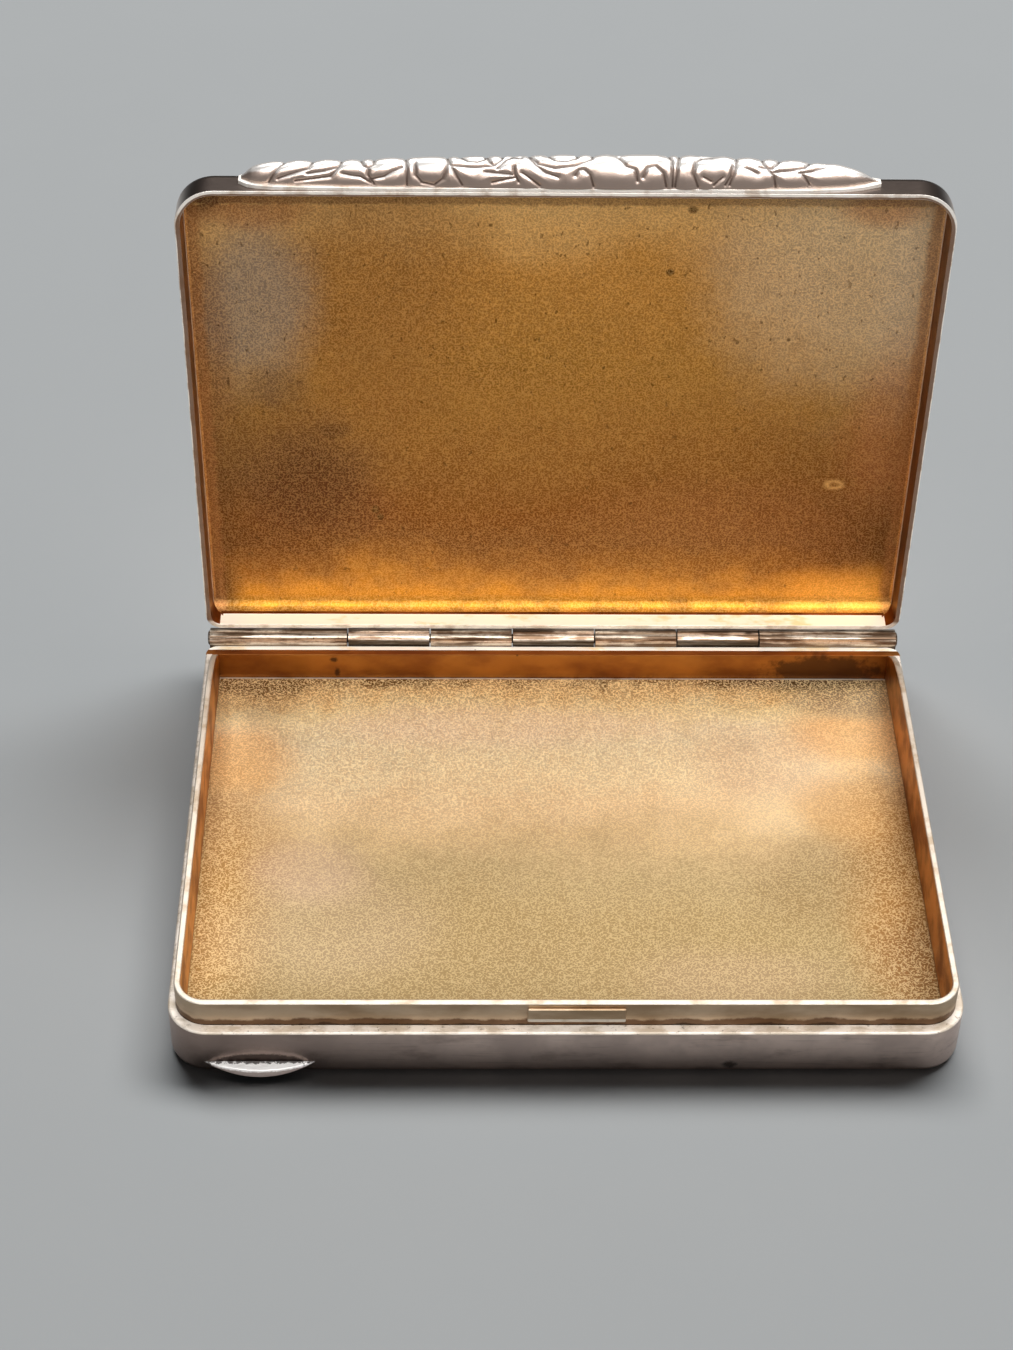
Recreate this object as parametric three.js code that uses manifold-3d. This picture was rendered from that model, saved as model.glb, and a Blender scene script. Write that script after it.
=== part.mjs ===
import * as THREE from 'three';
import { mergeVertices } from 'three/addons/utils/BufferGeometryUtils.js';
import Module from 'manifold-3d';

const wasm = await Module();
wasm.setup();

// Driving dimensions in millimetres. The case lies on its underside, front towards -Y, hinge along X.
const caseWidth = 90;
const bodyDepth = 65.55;
const frontCornerRadius = 4.7;
const baseHeight = 7;
const baseShoulder = 1.2;
const baseRearCorner = 1.6;
const lidHeight = 4.5;
const lidShoulder = 1.6;
const lidRearCorner = 2.0;
const lidInnerFillet = 0.5;
const sheetThickness = 0.7;
const solderGap = 0.02;

// Walls of the base, seen as the ledge that the lid closes on.
const sideLedge = 0.85;
const frontLedge = 1.2;
const rearWallThickness = 1.65;
const rearWallDrop = 0.1;
const bottomThickness = 0.8;
const bottomInset = 1.7;
const innerFloorTop = 3;
const bezelThickness = 0.75;
const bezelRise = 3.5;
const bezelCornerRadius = 3.6;
const bezelSlopeLength = 10.5;
const bezelRimRound = 0.22;

// Walls of the lid.
const lidSideWall = 0.6;
const lidFrontWall = 0.65;
const lidRearWall = 0.65;
const lidRearCove = 1.43;
const lidPlateInset = 2.1;
const lidRimGap = 0.15;

// Hinge: seven knuckles on one pin, the odd ones on the base.
const openAngle = THREE.MathUtils.degToRad(90);
const hingeOffset = 1.55;
const hingeHeight = 7;
const barrelRadius = 1.3;
const boreRadius = 0.66;
const pinRadius = 0.6;
const hingeLength = 89.2;
const middleKnuckle = 10.7;
const knuckleGap = 0.16;
const leafGap = 0.15;
const leafDepth = 1.15;
const plugRadius = 0.95;
const plugDepth = 0.9;
const plugClearance = 0.03;
const plugDome = 0.3;

// Catch bar on the bezel and lip on the front wall.
const snapWidth = 11;
const snapHeight = 2.1;
const snapProud = 0.34;
const snapBelowRim = 0.6;
const snapCentre = 1;
const lugWidth = 12.4;
const lugProud = 1.35;
const lugThickness = 1.2;
const lugTop = 2.2;
const lugCentre = -34.6;

// Thumbpiece: a half-round bow of relief on a thin flange, along the middle of the lid's front wall.
const bowLength = 72.8;
const bowCentre = -0.8;
const bowAxisHeight = 2.2;
const bowHalfWidth = 2;
const bowProud = 2.75;
const plinthThickness = 0.45;
const plinthMargin = 0.35;

const frontFace = -bodyDepth / 2;
const rearFace = bodyDepth / 2;
const halfWidth = caseWidth / 2;
const hingeY = rearFace + hingeOffset;
const rearInner = rearFace - rearWallThickness;
const rearWallTop = hingeHeight - rearWallDrop;
const bezelTop = baseHeight + bezelRise;
const lidRim = baseHeight + lidRimGap;
const lidTop = lidRim + lidHeight;
const farBehind = rearFace + 20;
const lowest = -20;
const highest = 40;
const roundSteps = 24;

const silver = { color: 0x9c9391, roughness: 0.34, metalness: 1 };
const brightSilver = { color: 0xc9c0bb, roughness: 0.24, metalness: 1 };
const knuckleSilver = { color: 0xa89d90, roughness: 0.3, metalness: 1 };
const gilt = { color: 0xc79a5c, roughness: 0.42, metalness: 1 };
const frostedGilt = { color: 0xcfab7a, roughness: 0.6, metalness: 1 };
const steel = { color: 0x7d7974, roughness: 0.4, metalness: 1 };

// Solids: a three.js geometry becomes a closed body, and a body becomes a mesh.
function solid(geometry) {
  const bare = geometry.clone();
  bare.deleteAttribute('normal');
  bare.deleteAttribute('uv');
  const merged = mergeVertices(bare, 1e-4);
  const vertProperties = new Float32Array(merged.attributes.position.array);
  const triVerts = new Uint32Array(merged.index.array);
  return new wasm.Manifold(new wasm.Mesh({ numProp: 3, vertProperties, triVerts }));
}

function meshFrom(name, body, finish) {
  const data = body.getMesh();
  const geometry = new THREE.BufferGeometry();
  geometry.setAttribute('position', new THREE.BufferAttribute(data.vertProperties, 3));
  geometry.setIndex(new THREE.BufferAttribute(data.triVerts, 1));
  geometry.computeVertexNormals();
  const mesh = new THREE.Mesh(geometry, new THREE.MeshStandardMaterial({ ...finish, flatShading: true }));
  mesh.name = name;
  return mesh;
}

function box(xLow, xHigh, yLow, yHigh, zLow, zHigh) {
  const geometry = new THREE.BoxGeometry(xHigh - xLow, yHigh - yLow, zHigh - zLow);
  geometry.translate((xLow + xHigh) / 2, (yLow + yHigh) / 2, (zLow + zHigh) / 2);
  return solid(geometry);
}

// Plan of the case, drawn in XY, with its own inset and radius at the front and at the rear.
function plan(sideInset, frontInset, rear, frontRadius, rearRadius) {
  const half = halfWidth - sideInset;
  const front = frontFace + frontInset;
  const shape = new THREE.Shape();
  shape.moveTo(-half, rear - rearRadius);
  shape.lineTo(-half, front + frontRadius);
  shape.absarc(-half + frontRadius, front + frontRadius, frontRadius, Math.PI, 1.5 * Math.PI);
  shape.lineTo(half - frontRadius, front);
  shape.absarc(half - frontRadius, front + frontRadius, frontRadius, 1.5 * Math.PI, 2 * Math.PI);
  shape.lineTo(half, rear - rearRadius);
  if (rearRadius > 0) {
    shape.absarc(half - rearRadius, rear - rearRadius, rearRadius, 0, 0.5 * Math.PI);
    shape.lineTo(-half + rearRadius, rear);
    shape.absarc(-half + rearRadius, rear - rearRadius, rearRadius, 0.5 * Math.PI, Math.PI);
  } else {
    shape.lineTo(-half, rear);
  }
  return shape;
}

function prism(shape, zLow, zHigh) {
  const geometry = new THREE.ExtrudeGeometry(shape, {
    depth: zHigh - zLow,
    bevelEnabled: false,
    curveSegments: 8,
  });
  geometry.translate(0, 0, zLow);
  return solid(geometry);
}

// A prism with both rims rounded by the same radius.
function softPrism(shape, zLow, zHigh, radius) {
  const geometry = new THREE.ExtrudeGeometry(shape, {
    depth: zHigh - zLow - 2 * radius,
    bevelThickness: radius,
    bevelSize: radius,
    bevelOffset: -radius,
    bevelSegments: 4,
    curveSegments: 8,
  });
  geometry.translate(0, 0, zLow + radius);
  return solid(geometry);
}

// A profile drawn in YZ and drawn out along X.
const alongX = new THREE.Matrix4().makeBasis(
  new THREE.Vector3(0, 1, 0),
  new THREE.Vector3(0, 0, 1),
  new THREE.Vector3(1, 0, 0),
);

function crossPrism(shape, xLow, xHigh) {
  const geometry = new THREE.ExtrudeGeometry(shape, {
    depth: xHigh - xLow,
    bevelEnabled: false,
    curveSegments: 12,
  });
  geometry.applyMatrix4(alongX);
  geometry.translate(xLow, 0, 0);
  return solid(geometry);
}

function rodAlongX(radius, xLow, xHigh) {
  const geometry = new THREE.CylinderGeometry(radius, radius, xHigh - xLow, roundSteps);
  geometry.rotateZ(Math.PI / 2);
  geometry.translate((xLow + xHigh) / 2, hingeY, hingeHeight);
  return solid(geometry);
}

// Base walls: one rounded pan, hollowed, with its flat bottom let in, parted at the rear wall.
const outerPlan = plan(0, 0, rearFace, frontCornerRadius, baseRearCorner);
const bottomPlan = plan(bottomInset, bottomInset, rearFace - bottomInset, frontCornerRadius - bottomInset, 0);
const cavityPlan = plan(sideLedge, frontLedge, rearInner, bezelCornerRadius, 0);

function baseWalls() {
  const pan = softPrism(outerPlan, 0, baseHeight + 2 * baseShoulder, baseShoulder);
  const hollow = prism(cavityPlan, bottomThickness, highest);
  const bottomOpening = prism(bottomPlan, lowest, highest);
  const above = box(-halfWidth - 1, halfWidth + 1, frontFace - 1, rearFace + 1, baseHeight, highest);
  return pan.subtract(hollow).subtract(bottomOpening).subtract(above);
}

const behindRearInner = box(-halfWidth - 1, halfWidth + 1, rearInner - solderGap, farBehind, lowest, highest);

function baseWallBand() {
  return baseWalls().subtract(behindRearInner);
}

function baseRearWall() {
  return baseWalls().intersect(box(-halfWidth, halfWidth, rearInner, rearFace, 0, rearWallTop));
}

function baseBottomPlate() {
  const inset = bottomInset + solderGap;
  const shape = plan(inset, inset, rearFace - inset, frontCornerRadius - bottomInset, 0);
  return prism(shape, 0, bottomThickness);
}

const liningPlan = plan(
  sideLedge + solderGap,
  frontLedge + solderGap,
  rearInner - 2 * solderGap,
  bezelCornerRadius,
  0,
);

function baseInnerFloor() {
  return prism(liningPlan, innerFloorTop - sheetThickness, innerFloorTop);
}

// The bezel lines the walls, stands above them, and sweeps down to the hinge at the rear.
function baseBezel() {
  const inside = plan(
    sideLedge + bezelThickness,
    frontLedge + bezelThickness,
    farBehind,
    bezelCornerRadius - bezelThickness,
    0,
  );
  const foot = innerFloorTop + solderGap;
  const tall = softPrism(liningPlan, foot - 2 * bezelRimRound, bezelTop, bezelRimRound);
  const band = tall.subtract(prism(inside, lowest, highest));
  const sweep = new THREE.Shape();
  const sweepStart = rearInner - bezelSlopeLength;
  sweep.moveTo(sweepStart, bezelTop);
  sweep.quadraticCurveTo(rearInner - bezelSlopeLength / 3, bezelTop, rearInner, rearWallTop);
  sweep.lineTo(farBehind, rearWallTop);
  sweep.lineTo(farBehind, highest);
  sweep.lineTo(sweepStart, highest);
  const below = box(-halfWidth, halfWidth, frontFace, farBehind, lowest, foot);
  return band.subtract(crossPrism(sweep, -halfWidth, halfWidth)).subtract(below);
}

function roundedBar(width, height, radius) {
  const shape = new THREE.Shape();
  shape.moveTo(-width / 2 + radius, -height / 2);
  shape.lineTo(width / 2 - radius, -height / 2);
  shape.absarc(width / 2 - radius, -height / 2 + radius, radius, -0.5 * Math.PI, 0);
  shape.absarc(width / 2 - radius, height / 2 - radius, radius, 0, 0.5 * Math.PI);
  shape.lineTo(-width / 2 + radius, height / 2);
  shape.absarc(-width / 2 + radius, height / 2 - radius, radius, 0.5 * Math.PI, Math.PI);
  shape.absarc(-width / 2 + radius, -height / 2 + radius, radius, Math.PI, 1.5 * Math.PI);
  return shape;
}

// Drawn as seen from the front, standing out towards -Y.
const outFromFront = new THREE.Matrix4().makeBasis(
  new THREE.Vector3(1, 0, 0),
  new THREE.Vector3(0, 0, 1),
  new THREE.Vector3(0, -1, 0),
);

function snapBar() {
  const edge = 0.12;
  const geometry = new THREE.ExtrudeGeometry(roundedBar(snapWidth, snapHeight, 0.4), {
    depth: snapProud - edge,
    bevelThickness: edge,
    bevelSize: edge,
    bevelOffset: -edge,
    bevelSegments: 3,
    curveSegments: 5,
  });
  geometry.applyMatrix4(outFromFront);
  const face = frontFace + frontLedge;
  geometry.translate(snapCentre, face, bezelTop - snapBelowRim - snapHeight / 2);
  return solid(geometry).subtract(box(-halfWidth, halfWidth, face, rearFace, lowest, highest));
}

function baseThumbLug() {
  const radius = (lugWidth * lugWidth) / (8 * lugProud) + lugProud / 2;
  const reach = Math.asin(lugWidth / 2 / radius);
  const shape = new THREE.Shape();
  shape.absarc(0, radius - lugProud, radius, 1.5 * Math.PI - reach, 1.5 * Math.PI + reach);
  shape.lineTo(lugWidth / 2, 1);
  shape.lineTo(-lugWidth / 2, 1);
  const edge = 0.3;
  const geometry = new THREE.ExtrudeGeometry(shape, {
    depth: lugThickness - 2 * edge,
    bevelThickness: edge,
    bevelSize: edge,
    bevelOffset: -edge,
    bevelSegments: 2,
    curveSegments: 14,
  });
  geometry.translate(lugCentre, frontFace, lugTop - lugThickness + edge);
  const wall = softPrism(outerPlan, 0, baseHeight + 2 * baseShoulder, baseShoulder);
  return solid(geometry).subtract(wall);
}

// Lid, drawn closed. Its walls carry the rounded shoulder, and the flat plate is let into them.
const lidPlan = plan(0, 0, rearFace, frontCornerRadius, lidRearCorner);

function lidOutside() {
  return softPrism(lidPlan, lidRim - 2 * lidShoulder, lidTop, lidShoulder);
}

function lidWalls() {
  const cavity = plan(lidSideWall, lidFrontWall, rearFace - lidRearWall, frontCornerRadius - lidSideWall, 1.2);
  const ceiling = lidTop - sheetThickness;
  const hollow = softPrism(cavity, lidRim - 2 * lidShoulder, ceiling, lidInnerFillet);
  const plateOpening = plan(
    lidPlateInset,
    lidPlateInset,
    rearFace - lidPlateInset,
    frontCornerRadius - lidPlateInset,
    0,
  );
  const below = box(-halfWidth - 1, halfWidth + 1, frontFace - 1, rearFace + 1, lowest, lidRim);
  return lidOutside().subtract(hollow).subtract(prism(plateOpening, lowest, highest)).subtract(below);
}

const lidRearSplit = rearFace - lidPlateInset;

function lidWallBand() {
  const rearCut = box(-halfWidth - 1, halfWidth + 1, lidRearSplit - solderGap, farBehind, lowest, highest);
  return lidWalls().subtract(rearCut);
}

// The rear strip's inside corner is a cove, from the plate round to the wall.
function lidRearCoveBar() {
  const wall = rearFace - lidRearWall;
  const ceiling = lidTop - sheetThickness;
  const backing = lidRearWall / 2;
  const shape = new THREE.Shape();
  shape.moveTo(wall + backing, ceiling + backing);
  shape.lineTo(wall - lidRearCove, ceiling + backing);
  shape.lineTo(wall - lidRearCove, ceiling);
  shape.absarc(wall - lidRearCove, ceiling - lidRearCove, lidRearCove, 0.5 * Math.PI, 0, true);
  shape.lineTo(wall + backing, ceiling - lidRearCove);
  return crossPrism(shape, -halfWidth, halfWidth).intersect(lidOutside());
}

function lidRearWallStrip() {
  const room = box(-halfWidth, halfWidth, lidRearSplit, rearFace, lidRim, lidTop);
  return lidWalls().add(lidRearCoveBar()).intersect(room);
}

function lidPlate() {
  const inset = lidPlateInset + solderGap;
  const shape = plan(inset, inset, rearFace - inset, frontCornerRadius - lidPlateInset, 0);
  return prism(shape, lidTop - sheetThickness, lidTop);
}

// Hinge knuckles: a tube with a leaf that reaches the wall of its own half.
function knuckle(xLow, xHigh, onLid) {
  const leafLow = onLid ? hingeHeight + leafGap : hingeHeight - leafGap - leafDepth;
  const leafHigh = leafLow + leafDepth;
  const leaf = box(xLow, xHigh, rearFace + solderGap, hingeY, leafLow, leafHigh);
  const bore = rodAlongX(boreRadius, xLow - 1, xHigh + 1);
  return rodAlongX(barrelRadius, xLow, xHigh).add(leaf).subtract(bore);
}

function plugSeat(side) {
  const outer = (side * hingeLength) / 2;
  const inner = outer - side * (plugDepth + plugClearance);
  return rodAlongX(plugRadius + plugClearance, Math.min(inner, outer + side), Math.max(inner, outer + side));
}

function hingeKnuckles() {
  const inner = [-2.5, -1.5, -0.5, 0.5, 1.5, 2.5].map((step) => step * middleKnuckle);
  const ends = [-hingeLength / 2 - knuckleGap / 2, ...inner, hingeLength / 2 + knuckleGap / 2];
  const meshes = { base: [], lid: [] };
  for (let index = 0; index < ends.length - 1; index += 1) {
    const onLid = index % 2 === 1;
    const list = onLid ? meshes.lid : meshes.base;
    const name = `${onLid ? 'lid' : 'base'}_knuckle_${list.length + 1}`;
    const tube = knuckle(ends[index] + knuckleGap / 2, ends[index + 1] - knuckleGap / 2, onLid);
    list.push(meshFrom(name, tube.subtract(plugSeat(-1)).subtract(plugSeat(1)), knuckleSilver));
  }
  return meshes;
}

function hingePin() {
  const half = hingeLength / 2 - plugDepth - 2 * plugClearance;
  return rodAlongX(pinRadius, -half, half);
}

// A plug is a short stud with a domed head, turned about the hinge axis.
function pinPlug(side) {
  const profile = new THREE.Shape();
  profile.moveTo(0, 0);
  profile.lineTo(plugRadius, 0);
  profile.lineTo(plugRadius, plugDepth);
  profile.quadraticCurveTo(plugRadius * 0.7, plugDepth + plugDome, 0, plugDepth + plugDome);
  const geometry = new THREE.LatheGeometry(profile.getPoints(6), 24);
  geometry.rotateZ((-side * Math.PI) / 2);
  geometry.translate(side * (hingeLength / 2 - plugDepth), hingeY, hingeHeight);
  return solid(geometry);
}

// Thumbpiece relief. X runs along the wall, Y up the wall from the rim, Z out of it.
const bowSwell = new THREE.SplineCurve([
  new THREE.Vector2(-1, 0),
  new THREE.Vector2(-0.98, 0.34),
  new THREE.Vector2(-0.94, 0.53),
  new THREE.Vector2(-0.88, 0.66),
  new THREE.Vector2(-0.69, 0.74),
  new THREE.Vector2(-0.35, 0.9),
  new THREE.Vector2(0, 1),
  new THREE.Vector2(0.42, 1),
  new THREE.Vector2(0.62, 0.88),
  new THREE.Vector2(0.75, 0.78),
  new THREE.Vector2(0.87, 0.62),
  new THREE.Vector2(0.95, 0.36),
  new THREE.Vector2(1, 0),
]).getPoints(34);

function swellAt(along) {
  const after = Math.max(1, bowSwell.findIndex((point) => point.x >= along));
  const low = bowSwell[after - 1];
  const high = bowSwell[after];
  return low.y + ((high.y - low.y) * (along - low.x)) / (high.x - low.x);
}

function bow() {
  const half = bowLength / 2;
  const profile = bowSwell.map((point) => new THREE.Vector2(Math.max(point.y, 0), point.x * half));
  const geometry = new THREE.LatheGeometry(profile, 16);
  geometry.rotateZ(-Math.PI / 2);
  geometry.scale(1, bowHalfWidth, bowProud);
  return solid(geometry);
}

// Puts a motif on the bow: along its length, and round from facing out towards the rim.
function onBow(geometry, x, round, lift) {
  const swell = swellAt((x - bowCentre) / (bowLength / 2));
  const turn = THREE.MathUtils.degToRad(round);
  geometry.translate(0, 0, lift);
  geometry.rotateX(turn);
  const y = -Math.sin(turn) * bowHalfWidth * swell;
  const z = Math.cos(turn) * bowProud * swell;
  geometry.translate(x - bowCentre, y, z);
  return solid(geometry);
}

function lobe(x, round, length, width, slant, lift) {
  const geometry = new THREE.SphereGeometry(0.5, 10, 6);
  geometry.scale(length, width, 0.8);
  geometry.rotateZ(THREE.MathUtils.degToRad(slant));
  return onBow(geometry, x, round, lift);
}

function ring(x, round, radius) {
  const geometry = new THREE.TorusGeometry(radius, 0.32, 6, 14);
  return onBow(geometry, x, round, -0.05);
}

function heart(x) {
  const left = lobe(x - 0.95, 20, 2.3, 1.7, 35, 0);
  const right = lobe(x + 0.95, 20, 2.3, 1.7, -35, 0);
  const tip = lobe(x, 55, 2.2, 1.9, 0, -0.1);
  return left.add(right).add(tip);
}

function ribbon(xStart, xEnd, roundStart, roundEnd) {
  const points = [];
  const steps = 5;
  for (let step = 0; step <= steps; step += 1) {
    const share = step / steps;
    const x = xStart + (xEnd - xStart) * share;
    const swell = swellAt((x - bowCentre) / (bowLength / 2));
    const turn = THREE.MathUtils.degToRad(roundStart + (roundEnd - roundStart) * share);
    const y = -Math.sin(turn) * bowHalfWidth * swell;
    points.push(new THREE.Vector3(x - bowCentre, y, Math.cos(turn) * bowProud * swell));
  }
  const section = new THREE.Shape().absarc(0, 0, 0.36, 0, 2 * Math.PI);
  const path = new THREE.CatmullRomCurve3(points);
  return solid(new THREE.ExtrudeGeometry(section, { steps: 8, extrudePath: path, curveSegments: 3 }));
}

function groove(x, slant) {
  const cutter = new THREE.BoxGeometry(0.3, 8, 8);
  cutter.rotateZ(THREE.MathUtils.degToRad(slant));
  const swell = swellAt((x - bowCentre) / (bowLength / 2));
  const core = new THREE.CylinderGeometry(1, 1, 2, 16);
  core.rotateZ(Math.PI / 2);
  core.scale(4, bowHalfWidth * swell - 0.32, bowProud * swell - 0.32);
  cutter.translate(x - bowCentre, 0, 0);
  core.translate(x - bowCentre, 0, 0);
  return solid(cutter).subtract(solid(core));
}

function motifs() {
  const leaves = [-33.6, -30.6, -27.4, -24.9].map((x, index) => lobe(x, 18, 3.6, 1.5 + 0.15 * index, 24, -0.06));
  const lowLeaves = [-30.5, -26.4, -20.6].map((x) => lobe(x, 58, 4.2, 1.2, 8, -0.1));
  const rightLeaves = [20.9, 23.6, 26.6].map((x) => lobe(x, 22, 3.4, 1.5, -26, -0.04));
  const rightTips = [25.4, 30.2].map((x) => lobe(x, 48, 5.6, 1.1, -6, -0.12));
  const beads = [-22.9, 12.3].map((x) => lobe(x, 8, 1.2, 1.2, 0, 0.1));
  const scrolls = [-10.6, -0.2].map((x) => ring(x, 12, 1).add(lobe(x, 12, 1, 1, 0, 0.05)));
  const flowers = [heart(-15.9), heart(16.7)];
  const ribbons = [
    ribbon(-13.4, -7, 62, 4),
    ribbon(-7.6, -2.6, 0, 66),
    ribbon(-3.4, 3.2, 6, 60),
    ribbon(2.4, 8.6, -4, 40),
    ribbon(8.2, 11.4, 12, 70),
  ];
  const broadLeaf = [lobe(4.2, 20, 4.6, 1.8, -12, 0), lobe(-20.4, 16, 3.6, 1.7, -18, 0)];
  return [
    ...leaves,
    ...lowLeaves,
    ...rightLeaves,
    ...rightTips,
    ...beads,
    ...scrolls,
    ...flowers,
    ...ribbons,
    ...broadLeaf,
  ];
}

const grooves = [groove(-18.3, 0), groove(-13.2, -6), groove(12.9, 0), groove(19.5, 14), groove(8.4, 4)];

// From the drawing of the relief to its place on the closed lid.
const ontoWall = new THREE.Matrix4()
  .makeTranslation(bowCentre, frontFace, lidRim + bowAxisHeight)
  .multiply(outFromFront);

function thumbpiece() {
  const relief = motifs().reduce((whole, motif) => whole.add(motif), bow());
  const carved = grooves.reduce((whole, cut) => whole.subtract(cut), relief);
  const outer = plinthThickness + solderGap;
  const halfBox = box(-bowLength, bowLength, -bowAxisHeight + 0.1, lidHeight - bowAxisHeight, 0, highest);
  const half = carved.intersect(halfBox);
  return half.translate([0, 0, outer]).transform(ontoWall.toArray());
}

function thumbpiecePlinth() {
  const half = bowLength / 2 + plinthMargin;
  const reach = bowHalfWidth + plinthMargin;
  const shape = new THREE.Shape();
  shape.moveTo(-half, 0);
  shape.quadraticCurveTo(0, -2 * reach, half, 0);
  shape.quadraticCurveTo(0, 2 * reach, -half, 0);
  const geometry = new THREE.ExtrudeGeometry(shape, {
    depth: plinthThickness + lidShoulder,
    bevelEnabled: false,
    curveSegments: 20,
  });
  geometry.translate(0, 0, -lidShoulder);
  const plate = solid(geometry).transform(ontoWall.toArray());
  const room = box(-halfWidth, halfWidth, frontFace - highest, frontFace + 1, lidRim, lidTop);
  return plate.intersect(room).subtract(lidOutside());
}

// Scene graph: the base lies in the case's own frame and the lid turns about the hinge.
const cigaretteCase = new THREE.Group();
const base = new THREE.Group();
const lid = new THREE.Group();
const knuckles = hingeKnuckles();

base.add(
  meshFrom('base_wall_band', baseWallBand(), silver),
  meshFrom('base_rear_wall', baseRearWall(), gilt),
  meshFrom('base_bottom_plate', baseBottomPlate(), silver),
  meshFrom('base_inner_floor', baseInnerFloor(), frostedGilt),
  meshFrom('base_bezel', baseBezel(), gilt),
  meshFrom('snap_bar', snapBar(), gilt),
  meshFrom('base_thumb_lug', baseThumbLug(), brightSilver),
  ...knuckles.base,
  meshFrom('hinge_pin', hingePin(), steel),
  meshFrom('pin_plug_left', pinPlug(-1), knuckleSilver),
  meshFrom('pin_plug_right', pinPlug(1), knuckleSilver),
);

lid.add(
  meshFrom('lid_wall_band', lidWallBand(), silver),
  meshFrom('lid_rear_wall', lidRearWallStrip(), gilt),
  meshFrom('lid_plate', lidPlate(), frostedGilt),
  ...knuckles.lid,
  meshFrom('thumbpiece_plinth', thumbpiecePlinth(), brightSilver),
  meshFrom('thumbpiece', thumbpiece(), brightSilver),
);
lid.children.forEach((piece) => piece.position.set(0, -hingeY, -hingeHeight));
lid.position.set(0, hingeY, hingeHeight);
lid.rotation.x = -openAngle;

cigaretteCase.add(base, lid);
export default cigaretteCase;
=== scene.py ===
import math
import bmesh
import bpy
import numpy as np
from mathutils import Matrix, Vector


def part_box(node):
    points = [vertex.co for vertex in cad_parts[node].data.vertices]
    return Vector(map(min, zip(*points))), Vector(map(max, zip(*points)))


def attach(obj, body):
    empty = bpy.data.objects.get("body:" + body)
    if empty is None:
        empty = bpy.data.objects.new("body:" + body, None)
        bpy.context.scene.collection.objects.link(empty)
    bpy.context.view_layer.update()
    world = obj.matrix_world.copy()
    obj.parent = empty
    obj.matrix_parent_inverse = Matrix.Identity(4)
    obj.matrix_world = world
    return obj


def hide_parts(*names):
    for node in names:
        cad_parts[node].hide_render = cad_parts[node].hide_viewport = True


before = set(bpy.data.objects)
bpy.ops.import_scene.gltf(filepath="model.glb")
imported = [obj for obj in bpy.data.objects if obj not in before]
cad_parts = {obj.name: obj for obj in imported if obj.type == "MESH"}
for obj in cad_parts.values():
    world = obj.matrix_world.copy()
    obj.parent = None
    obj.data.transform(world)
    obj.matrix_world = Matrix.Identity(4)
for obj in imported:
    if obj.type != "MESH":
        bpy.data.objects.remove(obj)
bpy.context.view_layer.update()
mm = 0.001
sameSpot = 0.02 * mm  # places closer than this are one
alongX, alongY, alongZ = 0, 1, 2
print("frame loaded with", len(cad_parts), "nodes")


# modelling helpers

def putDown():
    if bpy.context.mode != "OBJECT":
        bpy.ops.object.mode_set(mode="OBJECT")
    bpy.ops.object.select_all(action="DESELECT")


def settle(name):
    # the new primitive becomes the working piece, at the origin and unscaled
    piece = bpy.context.object
    piece.name = name
    piece.data.name = name
    bpy.ops.object.transform_apply(location=True, rotation=True, scale=True)
    return piece


def startBlock(name, low, high):
    putDown()
    bpy.ops.mesh.primitive_cube_add(size=1, location=(Vector(low) + Vector(high)) / 2)
    bpy.context.object.scale = Vector(high) - Vector(low)
    return settle(name)


def startRod(name, centre, radius, length, sides):
    # a rod along X
    putDown()
    bpy.ops.mesh.primitive_cylinder_add(
        vertices=sides, radius=radius, depth=length, location=centre, rotation=(0, math.pi / 2, 0))
    return settle(name)


def takeUp():
    # edit mode on the working piece, with all of it selected
    if bpy.context.object.mode != "EDIT":
        bpy.ops.object.mode_set(mode="EDIT")
    bpy.ops.mesh.select_all(action="SELECT")


def pick(kind, test):
    # selects the points, edges or faces of the working piece whose corners and middle pass the test
    takeUp()
    bpy.ops.mesh.select_mode(type=kind)
    bpy.ops.mesh.select_all(action="DESELECT")
    piece = bpy.context.object
    cage = bmesh.from_edit_mesh(piece.data)
    for part in {"VERT": cage.verts, "EDGE": cage.edges, "FACE": cage.faces}[kind]:
        corners = [part.co] if kind == "VERT" else [corner.co for corner in part.verts]
        middle = sum(corners, Vector()) / len(corners)
        part.select_set(all(test(point) for point in corners + [middle]))
    cage.select_flush_mode()
    bmesh.update_edit_mesh(piece.data)


def movePoints(test, change):
    # moves each point that passes the test to where change puts it
    pick("VERT", test)
    moveSelected(change)


def moveSelected(change):
    piece = bpy.context.object
    cage = bmesh.from_edit_mesh(piece.data)
    for corner in cage.verts:
        if corner.select:
            corner.co = change(corner.co.copy())
    bmesh.update_edit_mesh(piece.data)


def roundEdges(radius, steps, test):
    pick("EDGE", test)
    bpy.ops.mesh.bevel(offset=radius, segments=steps, affect="EDGES", profile=0.5, clamp_overlap=False)


def roundCorners(radius, steps, axis, place, reach):
    # the left and the right corner edge at a place on an axis
    roundEdges(radius, steps, lambda p: near(p[axis], place) and near(abs(p.x), reach))


def pull(shift):
    bpy.ops.mesh.extrude_region_move(TRANSFORM_OT_translate={"value": shift})


def cutAlong(axis, places):
    # cuts the whole working piece square to an axis, to have points to move
    normal = Vector((0, 0, 0))
    normal[axis] = 1
    for place in places:
        takeUp()
        bpy.ops.mesh.bisect(plane_co=normal * place, plane_no=normal)


def cutOffBehind(place):
    takeUp()
    bpy.ops.mesh.bisect(plane_co=(0, place, 0), plane_no=(0, 1, 0), use_fill=True, clear_outer=True)


def applyModifier(piece, kind, **settings):
    made = piece.modifiers.new(kind.lower(), kind)
    for name, value in settings.items():
        setattr(made, name, value)
    bpy.ops.object.modifier_apply(modifier=made.name)


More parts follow.
